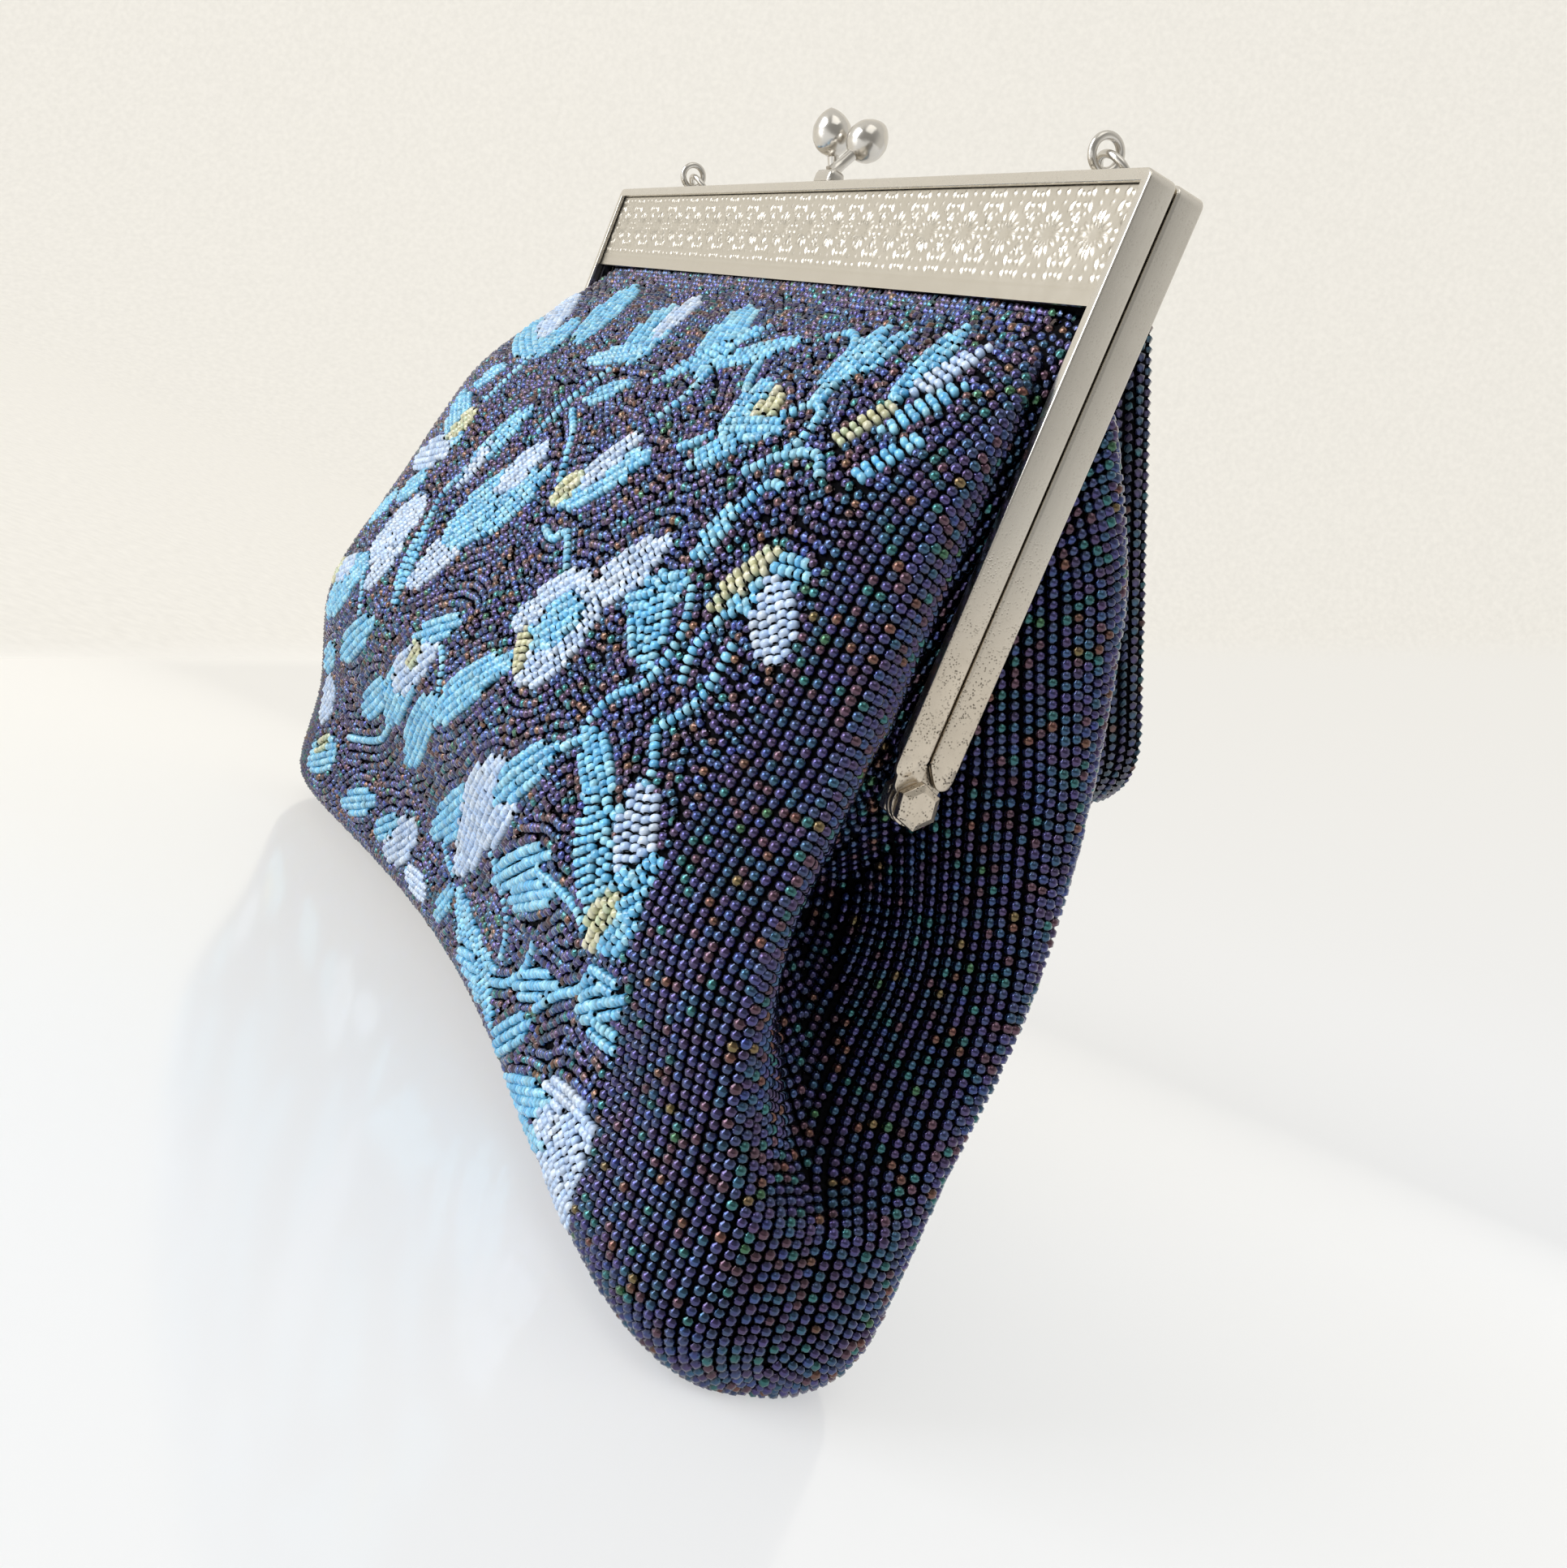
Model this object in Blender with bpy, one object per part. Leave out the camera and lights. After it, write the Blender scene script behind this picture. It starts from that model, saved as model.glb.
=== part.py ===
# Beaded kiss-lock frame bag: a folding nickel frame, a stuffed beaded pouch and a short beaded handle.
# X runs along the frame, the front of the bag faces -Y and Z is up. The bag stands on its bottom at Z = 0.

import math

import bmesh
import bpy
import numpy as np
from mathutils import Matrix, Vector

# Whole bag
bag_height = 0.1524
frame_width = 0.190
seat_gap = 0.0003
cut_overrun = 0.001
weld_distance = 0.000002

# Frame halves
half_depth = 0.0044
sheet_thickness = 0.0007
rim_width = 0.0016
inner_flange = 0.0024
frame_corner_radius = 0.0014
least_corner_share = 0.1
hinge_drop = 0.0795
arm_to_hinge = 0.0040

# Embossed plates
plate_height = 0.0166
plate_thickness = 0.0006
burst_count = 18
burst_points = 16
burst_waist_share = 0.55
burst_row_height = 0.0102
burst_row_drop = 0.0079
burst_radius = 0.0042
burst_relief = 0.00045
plate_end_margin = 0.0028

# Hinges
ear_radius = 0.0030
ear_neck = 0.0034
neck_setback = 0.00034
neck_meets_ear_degrees = 15.0
pin_radius = 0.0010
hex_radius = 0.00315
hex_thickness = 0.0016
hex_chamfer = 0.00035
nut_thickness = 0.0017
pin_engagement = 0.0011
hex_turn_degrees = 10.0

# Kiss-lock clasp
ball_radius = 0.00335
ball_length = 0.0076
ball_spread = 0.0073
ball_lean = 0.0035
ball_rise = 0.0098
ball_length_shares = (0.0, 0.07, 0.22, 0.40, 0.58, 0.76, 0.90, 1.0)
ball_width_shares = (0.34, 0.60, 0.88, 1.0, 0.94, 0.70, 0.38, 0.10)
stem_radius = 0.00095
stem_foot_height = 0.0022
foot_length = 0.0060
foot_depth = 0.0030
foot_bevel = 0.00044
lug_radius = 0.0014
lug_spacing = 0.0076
lug_height = 0.0026
lug_dome_shares = (0.0, 0.25, 0.5, 0.75, 0.93)

# Handle loops and links
loop_spacing = 0.1468
loop_rise = 0.0054
loop_radius = 0.0022
loop_wire = 0.0006
loop_foot_radius = 0.0009
loop_neck_radius = 0.00054
link_radius = 0.0029
link_wire = 0.00055
link_tilt_degrees = 55.0

# Beaded handle
strap_tilt_degrees = 28.4
strap_length = 0.0880
strap_width = 0.0100
strap_thickness = 0.0032
strap_bend_radius = 0.0130
strap_edge_round = 0.0007
tab_width = 0.0030
tab_radius = 0.0021
tab_bore = 0.0013
tab_length = 0.0062
tab_neck_width = 0.0046
tab_shoulder_share = 0.9
tab_cheek_share = 0.98

# Beaded pouch
pouch_half_width = 0.1158
pouch_depth = 0.0377
hem_drop = 0.0029
hem_thickness = 0.0012
panel_thickness = 0.0020
string_relief = 0.0006
panel_split_drop = 0.0850
side_seam_gap = 0.0003
arm_clear_depth = 0.0050
bottom_turn_height = 0.0144
bottom_arch = 0.0030
lining_gap = 0.0003
lining_thickness = 0.0006

# Pouch outline, as shares of the way down, of the half width and of the depth. The hinges stand at
# hinge_level_share of the way down, and the arms' inner side at arm_width_share of the half width.
hinge_level_share = 0.5217
arm_width_share = 0.797
level_shares = (0.0, 0.1115, 0.119, 0.197, 0.328, 0.519, 0.689, 0.853, 1.0)
width_shares = (0.797, 0.797, 0.799, 0.838, 0.868, 0.928, 0.990, 1.0, 1.0)
front_depth_shares = (0.0663, 0.0663, 0.110, 0.413, 0.743, 0.867, 1.0, 0.890, 0.890)
back_depth_shares = (0.0663, 0.0663, 0.110, 0.450, 0.850, 0.975, 0.875, 0.796, 0.796)
crease_level_shares = (0.0, 0.470, 0.495, 0.525, 0.580, 0.635, 0.700, 0.750, 0.800, 0.850, 1.0)
crease_width_shares = (0.797, 0.797, 0.780, 0.775, 0.742, 0.700, 0.760, 0.823, 0.889, 0.975, 1.0)
corner_power = 3.43
crease_edge_share = 0.62
crease_power = 1.3
fold_face_shares = (0.48, 0.80)
fullness_lean_share = 0.18
waist_share = 0.46
waist_start_share = 0.537
bottom_power_middle = 2.1
bottom_power_end = 4.07
bottom_flat_share = 0.965
bottom_narrow_share = 0.03

# Points around each half ring, as shares of its half width on the face and of its depth round the end
end_depth_shares = (0.0, 0.14, 0.28, 0.42, 0.56)
face_width_shares = (0.93, 0.80, 0.64, 0.46, 0.28, 0.10)

# Rows of points down the pouch, as shares of its height and of the turn under its bottom
row_level_shares = (0.1115, 0.119, 0.14, 0.168, 0.21, 0.27, 0.34, 0.42)
row_level_shares += (0.50, 0.59, 0.65, 0.71, 0.77, 0.83, 0.87)
bottom_row_shares = (0, 0.35, 0.65, 0.85, 1.0)

frame_half_width = frame_width / 2
hinge_height = bag_height - hinge_drop
arm_drop = hinge_drop - arm_to_hinge
bottom_start_drop = bag_height - bottom_turn_height
face_inner = seat_gap / 2


def material(name, color, roughness, metallic):
    made = bpy.data.materials.new(name)
    made.use_nodes = True
    shader = made.node_tree.nodes["Principled BSDF"]
    shader.inputs["Base Color"].default_value = (*color, 1)
    shader.inputs["Roughness"].default_value = roughness
    shader.inputs["Metallic"].default_value = metallic
    made.diffuse_color = (*color, 1)
    return made


def add_object(name, mesh, finish, parent=None, smooth_degrees=40, turn_faces_out=True):
    if turn_faces_out:
        bmesh.ops.recalc_face_normals(mesh, faces=mesh.faces)
    data = bpy.data.meshes.new(name)
    mesh.to_mesh(data)
    mesh.free()
    data.materials.append(finish)
    if smooth_degrees:
        data.shade_smooth()
        data.set_sharp_from_angle(angle=math.radians(smooth_degrees))
    made = bpy.data.objects.new(name, data)
    bpy.context.scene.collection.objects.link(made)
    if parent:
        made.parent = parent
        made.location = -parent.location
    return made


def add_pivot(name, position):
    pivot = bpy.data.objects.new(name, None)
    pivot.location = position
    pivot.empty_display_size = ear_radius
    bpy.context.scene.collection.objects.link(pivot)
    return pivot


def stand_on_origin():
    """Moves the whole bag so that it rests on Z = 0 with the middle of its bounds over the origin."""
    bpy.context.view_layer.update()
    graph = bpy.context.evaluated_depsgraph_get()
    corners = []
    for made in bpy.context.scene.objects:
        if made.type == "MESH" and not made.hide_render:
            solid = made.evaluated_get(graph)
            corners += [solid.matrix_world @ Vector(corner) for corner in solid.bound_box]
    low, high = np.min(corners, axis=0), np.max(corners, axis=0)
    shift = Vector((low[0] + high[0], low[1] + high[1], 2 * low[2])) / 2
    for made in bpy.context.scene.objects:
        if made.parent is None:
            made.location -= shift


def apply_boolean(target, cutters, operation):
    """Adds each cutter to the target, or cuts it away, and keeps the result as the target's mesh."""
    for number, cutter in enumerate(cutters):
        data = bpy.data.meshes.new("cutter")
        bmesh.ops.recalc_face_normals(cutter, faces=cutter.faces)
        cutter.to_mesh(data)
        cutter.free()
        helper = bpy.data.objects.new(f"{target.name}_tool_{number}", data)
        bpy.context.scene.collection.objects.link(helper)
        helper.parent = target.parent
        helper.location = target.location
        helper.hide_render = True
        helper.display_type = "WIRE"
        modifier = target.modifiers.new(f"{operation.lower()} {number}", "BOOLEAN")
        modifier.operation = operation
        modifier.object = helper


def cylinder(radius, start, end, sides=20, end_radius=None):
    start, end = Vector(start), Vector(end)
    axis = end - start
    turn = Vector((0, 0, 1)).rotation_difference(axis).to_matrix().to_4x4()
    mesh = bmesh.new()
    bmesh.ops.create_cone(
        mesh,
        cap_ends=True,
        segments=sides,
        radius1=radius,
        radius2=radius if end_radius is None else end_radius,
        depth=axis.length,
        matrix=Matrix.Translation((start + end) / 2) @ turn,
    )
    return mesh


def box(low, high):
    low, high = Vector(low), Vector(high)
    mesh = bmesh.new()
    bmesh.ops.create_cube(mesh, size=1)
    for point in mesh.verts:
        share = point.co + Vector((0.5, 0.5, 0.5))
        point.co = Vector(low[k] + share[k] * (high[k] - low[k]) for k in range(3))
    return mesh


def torus(center, across, along, radius, wire, steps=24, sides=8):
    """A wire ring about center, in the plane of the unit vectors across and along."""
    center, across, along = Vector(center), Vector(across), Vector(along)
    normal = across.cross(along)
    mesh = bmesh.new()
    rings = []
    for step in range(steps):
        turn = 2 * math.pi * step / steps
        out = across * math.cos(turn) + along * math.sin(turn)
        ring = []
        for side in range(sides):
            lean = 2 * math.pi * side / sides
            offset = out * math.cos(lean) + normal * math.sin(lean)
            ring.append(mesh.verts.new(center + out * radius + offset * wire))
        rings.append(ring)
    for step in range(steps):
        first, second = rings[step], rings[(step + 1) % steps]
        for side in range(sides):
            after = (side + 1) % sides
            mesh.faces.new((first[side], first[after], second[after], second[side]))
    return mesh


def loft(rings):
    """Joins closed rings of points in order and caps both ends."""
    mesh = bmesh.new()
    made = [[mesh.verts.new(point) for point in ring] for ring in rings]
    for first, second in zip(made, made[1:]):
        for side in range(len(first)):
            after = (side + 1) % len(first)
            mesh.faces.new((first[side], first[after], second[after], second[side]))
    mesh.faces.new(list(reversed(made[0])))
    mesh.faces.new(made[-1])
    return mesh


# Frame


def arch_path(inset, arm_end, corner_steps=4):
    """Points up the left arm, over the top and down the right arm, at a distance in from the outer edge."""
    radius = max(frame_corner_radius - inset, sheet_thickness * least_corner_share)
    side = frame_half_width - inset
    top = bag_height - inset
    low = bag_height - arm_end
    points = [(-side, low)]
    for sign in (-1, 1):
        turns = range(corner_steps + 1) if sign < 0 else range(corner_steps, -1, -1)
        for step in turns:
            angle = math.pi / 2 * step / corner_steps
            x = sign * (side - radius + radius * math.cos(angle))
            points.append((x, top - radius + radius * math.sin(angle)))
    points.append((side, low))
    return points


def arch_sweep(profile, arm_end=arm_drop):
    """Sweeps a profile of (inset from the outer edge, depth in Y) along the frame's arch."""
    stations = [arch_path(inset, arm_end) for inset, _ in profile]
    rings = []
    for step in range(len(stations[0])):
        ring = [(line[step][0], depth, line[step][1]) for line, (_, depth) in zip(stations, profile)]
        rings.append(ring)
    return loft(rings)


def frame_half(name, side, finish, parent=None):
    """One half of the frame: a channel of bent sheet that opens inwards, with a hinge ear on each arm."""
    face = side * half_depth
    inner = side * face_inner
    channel = (
        (0, face),
        (0, inner),
        (inner_flange, inner),
        (inner_flange, inner + side * sheet_thickness),
        (sheet_thickness, inner + side * sheet_thickness),
        (sheet_thickness, face - side * sheet_thickness),
        (rim_width, face - side * sheet_thickness),
        (rim_width, face),
    )
    half = add_object(name, arch_sweep(channel), finish, parent, smooth_degrees=30)
    ears = []
    bores = []
    for hand in (-1, 1):
        outer = frame_half_width
        if side > 0:
            outer = frame_half_width - sheet_thickness - seat_gap
        ear_inner = outer - sheet_thickness
        near, far = hand * ear_inner, hand * outer
        ears.append(cylinder(ear_radius, (near, 0, hinge_height), (far, 0, hinge_height), 24))
        if side < 0:
            low = (near, face, hinge_height)
            high = (far, inner, bag_height - arm_drop + ear_neck)
        else:
            low = (near, inner, hinge_height)
            high = (far, face - side * sheet_thickness, bag_height - arm_drop + ear_neck)
        low, high = np.sort([low, high], axis=0)
        ears.append(ear_neck_piece(low, high, side))
        if side > 0:
            middle = side * sheet_thickness / 2
            block_low = (hand * ear_inner, inner + middle, bag_height - arm_drop)
            block_high = (
                hand * (frame_half_width - sheet_thickness / 2),
                face - middle,
                bag_height - arm_drop + ear_neck,
            )
            block_low, block_high = np.sort([block_low, block_high], axis=0)
            ears.append(box(block_low, block_high))
        start = (hand * (ear_inner - cut_overrun), 0, hinge_height)
        end = (hand * (outer + cut_overrun), 0, hinge_height)
        bores.append(cylinder(pin_radius + seat_gap, start, end, 16))
    apply_boolean(half, ears, "UNION")
    apply_boolean(half, bores, "DIFFERENCE")
    return half


def ear_neck_piece(low, high, side):
    """The tapered neck between an arm's end and its round hinge ear."""
    mesh = bmesh.new()
    outer_y = low[1] if side < 0 else high[1]
    inner_y = high[1] if side < 0 else low[1]
    meets = math.radians(neck_meets_ear_degrees)
    outline = (
        (outer_y, high[2]),
        (outer_y, high[2] - ear_neck - neck_setback),
        (side * ear_radius * math.cos(meets), hinge_height + ear_radius * math.sin(meets)),
        (inner_y - side * face_inner, hinge_height),
        (inner_y, high[2]),
    )
    near = [mesh.verts.new((low[0], y, z)) for y, z in outline]
    far = [mesh.verts.new((high[0], y, z)) for y, z in outline]
    mesh.faces.new(near)
    mesh.faces.new(list(reversed(far)))
    for step in range(len(outline)):
        after = (step + 1) % len(outline)
        mesh.faces.new((near[after], near[step], far[step], far[after]))
    return mesh


def embossed_plate(name, side, finish, parent=None):
    """The recessed plate: a row of raised starbursts over a plain smooth lower band."""
    face = side * (half_depth - sheet_thickness - seat_gap)
    back = face - side * plate_thickness
    end = frame_half_width - sheet_thickness - seat_gap
    top = bag_height - sheet_thickness - seat_gap
    low = bag_height - plate_height
    row_end = frame_half_width - plate_end_margin
    cell = 2 * row_end / burst_count
    row_top = bag_height - burst_row_drop + burst_row_height / 2
    row_low = row_top - burst_row_height
    mesh = bmesh.new()

    def corner(x, z, y=face):
        return mesh.verts.new((x, y, z))

    columns = [-row_end + cell * number for number in range(burst_count + 1)]
    tops = [corner(x, row_top) for x in columns]
    lows = [corner(x, row_low) for x in columns]
    for number in range(burst_count):
        middle = (columns[number] + columns[number + 1]) / 2
        height = (row_top + row_low) / 2
        star = []
        for step in range(burst_points):
            turn = 2 * math.pi * step / burst_points + math.pi / 4
            reach = burst_radius if step % 2 == 0 else burst_radius * burst_waist_share
            star.append(corner(middle + reach * math.cos(turn), height + reach * math.sin(turn)))
        peak = corner(middle, height, face + side * burst_relief)
        for step in range(burst_points):
            mesh.faces.new((star[step], star[(step + 1) % burst_points], peak))
        frame_corners = (tops[number + 1], tops[number], lows[number], lows[number + 1])
        quarter = burst_points // 4
        for edge in range(4):
            first, second = frame_corners[edge], frame_corners[(edge + 1) % 4]
            run = [star[(edge * quarter + step) % burst_points] for step in range(quarter + 1)]
            mesh.faces.new([first, *run, second])
    outer = [corner(end, top), corner(-end, top), corner(-end, low), corner(end, low)]
    mesh.faces.new([outer[1], outer[0], *reversed(tops)])
    mesh.faces.new([outer[3], outer[2], *lows])
    mesh.faces.new([outer[0], outer[3], lows[-1], tops[-1]])
    mesh.faces.new([outer[2], outer[1], tops[0], lows[0]])
    behind = [corner(point.co.x, point.co.z, back) for point in outer]
    mesh.faces.new(behind)
    for step in range(4):
        after = (step + 1) % 4
        mesh.faces.new((outer[step], outer[after], behind[after], behind[step]))
    return add_object(name, mesh, finish, parent, smooth_degrees=0)


def channel_strip(name, side, finish, parent=None):
    """The cord that presses the pouch's hem into the channel."""
    outer = side * (half_depth - sheet_thickness - plate_thickness - 2 * seat_gap)
    inner = side * (face_inner + sheet_thickness + seat_gap)
    near = sheet_thickness + seat_gap
    far = inner_flange
    profile = ((near, outer), (near, inner), (far, inner), (far, outer))
    strip = arch_sweep(profile, arm_drop - ear_neck - seat_gap)
    return add_object(name, strip, finish, parent, smooth_degrees=0)


# Hinges


def hexagon(center_x, sides_radius):
    """A hexagonal ring of points round the hinge axis."""
    ring = []
    for step in range(6):
        turn = math.radians(90 + hex_turn_degrees + 60 * step)
        ring.append((center_x, sides_radius * math.cos(turn), hinge_height + sides_radius * math.sin(turn)))
    return ring


def hinge_cap(name, hand, finish, parent):
    """The hexagonal head over the hinge, chamfered at its rim and bored for the pin."""
    near = frame_half_width + seat_gap
    far = near + hex_thickness
    rings = [
        hexagon(hand * near, hex_radius),
        hexagon(hand * (far - hex_chamfer), hex_radius),
        hexagon(hand * far, hex_radius - 2 * hex_chamfer),
    ]
    cap = add_object(name, loft(rings), finish, parent, smooth_degrees=0)
    bore_end = near + pin_engagement + seat_gap
    start = (hand * (near - cut_overrun), 0, hinge_height)
    bore = cylinder(pin_radius + seat_gap, start, (hand * bore_end, 0, hinge_height), 16)
    apply_boolean(cap, [bore], "DIFFERENCE")
    return cap


def hinge_pin(name, hand, finish):
    """The pin through both ears, with its hexagonal inner head."""
    inner_ear = frame_half_width - 2 * sheet_thickness - seat_gap
    head_far = inner_ear - seat_gap
    head_near = head_far - nut_thickness
    rings = [
        hexagon(hand * head_near, hex_radius - hex_chamfer),
        hexagon(hand * (head_near + hex_chamfer), hex_radius),
        hexagon(hand * head_far, hex_radius),
    ]
    pin = add_object(name, loft(rings), finish, smooth_degrees=0)
    start = (hand * (head_near + nut_thickness / 2), 0, hinge_height)
    end = (hand * (frame_half_width + seat_gap + pin_engagement), 0, hinge_height)
    apply_boolean(pin, [cylinder(pin_radius, start, end, 16)], "UNION")
    return pin


# Clasp


def clasp(side, metal, parent=None):
    """One half of the clasp: a foot on the frame, a leaning stem and a pear-shaped ball at its end."""
    name = "back_clasp" if side > 0 else "front_clasp"
    x = -side * ball_spread / 2
    foot_y = side * (half_depth + face_inner) / 2
    floor = bag_height + seat_gap
    low = (x - foot_length / 2, foot_y - foot_depth / 2, floor)
    high = (x + foot_length / 2, foot_y + foot_depth / 2, floor + stem_foot_height)
    foot = add_object(f"{name}_foot", box(low, high), metal, parent, smooth_degrees=0)
    bevel = foot.modifiers.new("rounded edges", "BEVEL")
    bevel.width = foot_bevel
    bevel.segments = 2
    if side > 0:
        lug_x = x + ball_spread / 2 + lug_spacing
        levels = [(floor, lug_radius)]
        for share in lug_dome_shares:
            lean = math.pi / 2 * share
            level = floor + lug_height - lug_radius + lug_radius * math.sin(lean)
            levels.append((level, lug_radius * math.cos(lean)))
        rings = []
        for level, radius in levels:
            turns = [2 * math.pi * step / 16 for step in range(16)]
            outs = [(radius * math.cos(turn), radius * math.sin(turn)) for turn in turns]
            rings.append([(lug_x + x_out, foot_y + y_out, level) for x_out, y_out in outs])
        add_object("back_clasp_lug", loft(rings), metal, parent)
    base = Vector((x, foot_y, floor + stem_foot_height + seat_gap))
    middle = Vector((x, -side * ball_lean / 2, bag_height + ball_rise))
    axis = (middle - base).normalized()
    ball_start = middle - axis * ball_length / 2
    stem_end = ball_start - axis * seat_gap
    stem = cylinder(stem_radius, base - Vector((0, 0, seat_gap / 2)), stem_end, 16)
    add_object(f"{name}_stem", trim_below(stem, base.z), metal, parent)
    across = Vector((1, 0, 0))
    along = axis.cross(across)
    rings = []
    for length, share in zip(ball_length_shares, ball_width_shares):
        ring = []
        for step in range(20):
            turn = 2 * math.pi * step / 20
            out = across * math.cos(turn) + along * math.sin(turn)
            ring.append(ball_start + axis * ball_length * length + out * ball_radius * share)
        rings.append(ring)
    add_object(f"{name}_ball", loft(rings), metal, parent, smooth_degrees=60)


def trim_below(mesh, height):
    """Cuts a mesh level at a height and closes it."""
    geometry = mesh.verts[:] + mesh.edges[:] + mesh.faces[:]
    level = {"plane_co": (0, 0, height), "plane_no": (0, 0, -1)}
    cut = bmesh.ops.bisect_plane(mesh, geom=geometry, clear_outer=True, **level)
    edges = [item for item in cut["geom_cut"] if isinstance(item, bmesh.types.BMEdge)]
    if edges:
        bmesh.ops.contextual_create(mesh, geom=edges)
    return mesh


# Handle


def direction(degrees):
    """A unit vector that points down and back, at an angle from straight down."""
    turn = math.radians(degrees)
    return Vector((0, math.sin(turn), -math.cos(turn)))


def loop_center(hand):
    return Vector((hand * loop_spacing / 2, (half_depth + face_inner) / 2, bag_height + loop_rise))


def wire_loop(name, hand, finish):
    """The wire eye that stands on the back half of the frame."""
    center = loop_center(hand)
    ring = torus(center, (0, 1, 0), (0, 0, 1), loop_radius, loop_wire, 20, 8)
    made = add_object(name, ring, finish, smooth_degrees=80)
    foot = (center.x, center.y, bag_height + seat_gap)
    top = (center.x, center.y, center.z - loop_radius)
    neck = cylinder(loop_foot_radius, foot, top, 12, loop_neck_radius)
    apply_boolean(made, [neck], "UNION")
    return made


def link_ring(name, hand, finish, parent):
    center = loop_center(hand) + direction(link_tilt_degrees) * link_radius
    ring = torus(center, (1, 0, 0), direction(link_tilt_degrees), link_radius, link_wire, 24, 8)
    return add_object(name, ring, finish, parent, smooth_degrees=80)


def strap_start(hand):
    return loop_center(hand) + direction(link_tilt_degrees) * 2 * link_radius


def strap_tab(name, hand, finish, parent):
    """The end fitting: an eye on the link that widens into the band's clamp."""
    start = strap_start(hand)
    down = direction(strap_tilt_degrees)
    across = Vector((1, 0, 0))
    wide = down.cross(across)
    near = start - across * tab_width / 2
    far = start + across * tab_width / 2
    made = add_object(name, cylinder(tab_radius, near, far, 20), finish, parent)
    shoulder = tab_radius * tab_shoulder_share
    cheek = tab_width / 2 * tab_cheek_share
    outline = (
        (shoulder, tab_neck_width / 2),
        (tab_length, strap_width / 2),
        (tab_length, -strap_width / 2),
        (shoulder, -tab_neck_width / 2),
        (0, -shoulder),
        (0, shoulder),
    )
    rings = []
    for edge in (-cheek, cheek):
        rings.append([start + across * edge + down * length + wide * reach for length, reach in outline])
    bore = cylinder(tab_bore, near - across * cut_overrun, far + across * cut_overrun, 16)
    apply_boolean(made, [loft(rings)], "UNION")
    apply_boolean(made, [bore], "DIFFERENCE")
    return made


def beaded_strap(finish, parent):
    """The flat band: down behind the bag, across in two easy bends and up to the other loop."""
    down = direction(strap_tilt_degrees)
    across = Vector((1, 0, 0))
    wide = down.cross(across)
    reach = loop_spacing / 2
    middle = (strap_start(-1) + strap_start(1)) / 2
    top = tab_length + seat_gap
    low = strap_length - strap_bend_radius
    route = [(-reach, top + (low - top) * step / 4, 0) for step in range(4)]
    for sign in (-1, 1):
        turns = range(9) if sign < 0 else range(8, -1, -1)
        for step in turns:
            angle = math.pi / 2 * step / 8
            x = sign * (reach - strap_bend_radius + strap_bend_radius * math.cos(angle))
            turn = angle if sign < 0 else math.pi - angle
            route.append((x, low + strap_bend_radius * math.sin(angle), turn))
        if sign < 0:
            half = reach - strap_bend_radius
            route += [(half * share, strap_length, math.pi / 2) for share in (-0.5, 0.0, 0.5)]
    route += [(reach, top + (low - top) * step / 4, math.pi) for step in range(3, -1, -1)]
    thick, edge = strap_thickness / 2, strap_width / 2
    section = (
        (thick, edge - strap_edge_round),
        (thick - strap_edge_round, edge),
        (strap_edge_round - thick, edge),
        (-thick, edge - strap_edge_round),
        (-thick, strap_edge_round - edge),
        (strap_edge_round - thick, -edge),
        (thick - strap_edge_round, -edge),
        (thick, strap_edge_round - edge),
    )
    rings = []
    for x, length, angle in route:
        out = across * -math.cos(angle) + down * math.sin(angle)
        center = middle + across * x + down * length
        rings.append([center + out * offset + wide * lift for offset, lift in section])
    return add_object("strap_band", loft(rings), finish, parent)


# Pouch


def smooth_table(places, values, where):
    """A smooth curve through a table of values that never overshoots them."""
    places, values = np.asarray(places, float), np.asarray(values, float)
    steps = np.diff(values) / np.diff(places)
    slopes = np.zeros(len(values))
    same = steps[:-1] * steps[1:] > 0
    slopes[1:-1][same] = 2 / (1 / steps[:-1][same] + 1 / steps[1:][same])
    where = np.clip(where, places[0], places[-1])
    at = np.clip(np.searchsorted(places, where, side="right") - 1, 0, len(places) - 2)
    wide = places[at + 1] - places[at]
    t = (where - places[at]) / wide
    return (
        values[at] * (1 + 2 * t) * (1 - t) ** 2
        + slopes[at] * wide * t * (1 - t) ** 2
        + values[at + 1] * t**2 * (3 - 2 * t)
        + slopes[at + 1] * wide * t**2 * (t - 1)
    )


def half_ring_shares():
    """Width and depth shares of the points round half a ring, from the left seam to the right seam."""
    right = [((1 - depth**corner_power) ** (1 / corner_power), depth) for depth in end_depth_shares]
    right += [(width, (1 - width**corner_power) ** (1 / corner_power)) for width in face_width_shares]
    left = [(-width, depth) for width, depth in right]
    return np.array(left + right[::-1])


def level_shares_at(drops):
    """How far down the pouch each drop is, as a share that is fixed at the hinges."""
    above = hinge_level_share * drops / hinge_drop
    below = (drops - hinge_drop) / (bag_height - hinge_drop)
    return np.where(drops < hinge_drop, above, hinge_level_share + (1 - hinge_level_share) * below)


def drops_at(shares):
    """The drops at given level shares."""
    above = hinge_drop * shares / hinge_level_share
    below = (shares - hinge_level_share) / (1 - hinge_level_share)
    return np.where(shares < hinge_level_share, above, hinge_drop + (bag_height - hinge_drop) * below)


def half_widths_at(shares):
    """Half widths at given width shares, which are fixed at the inner side of the frame's arms."""
    beside_arm = frame_half_width - inner_flange - seat_gap
    beyond = (pouch_half_width - beside_arm) * (shares - arm_width_share) / (1 - arm_width_share)
    return np.where(shares < arm_width_share, beside_arm * shares / arm_width_share, beside_arm + beyond)


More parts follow.
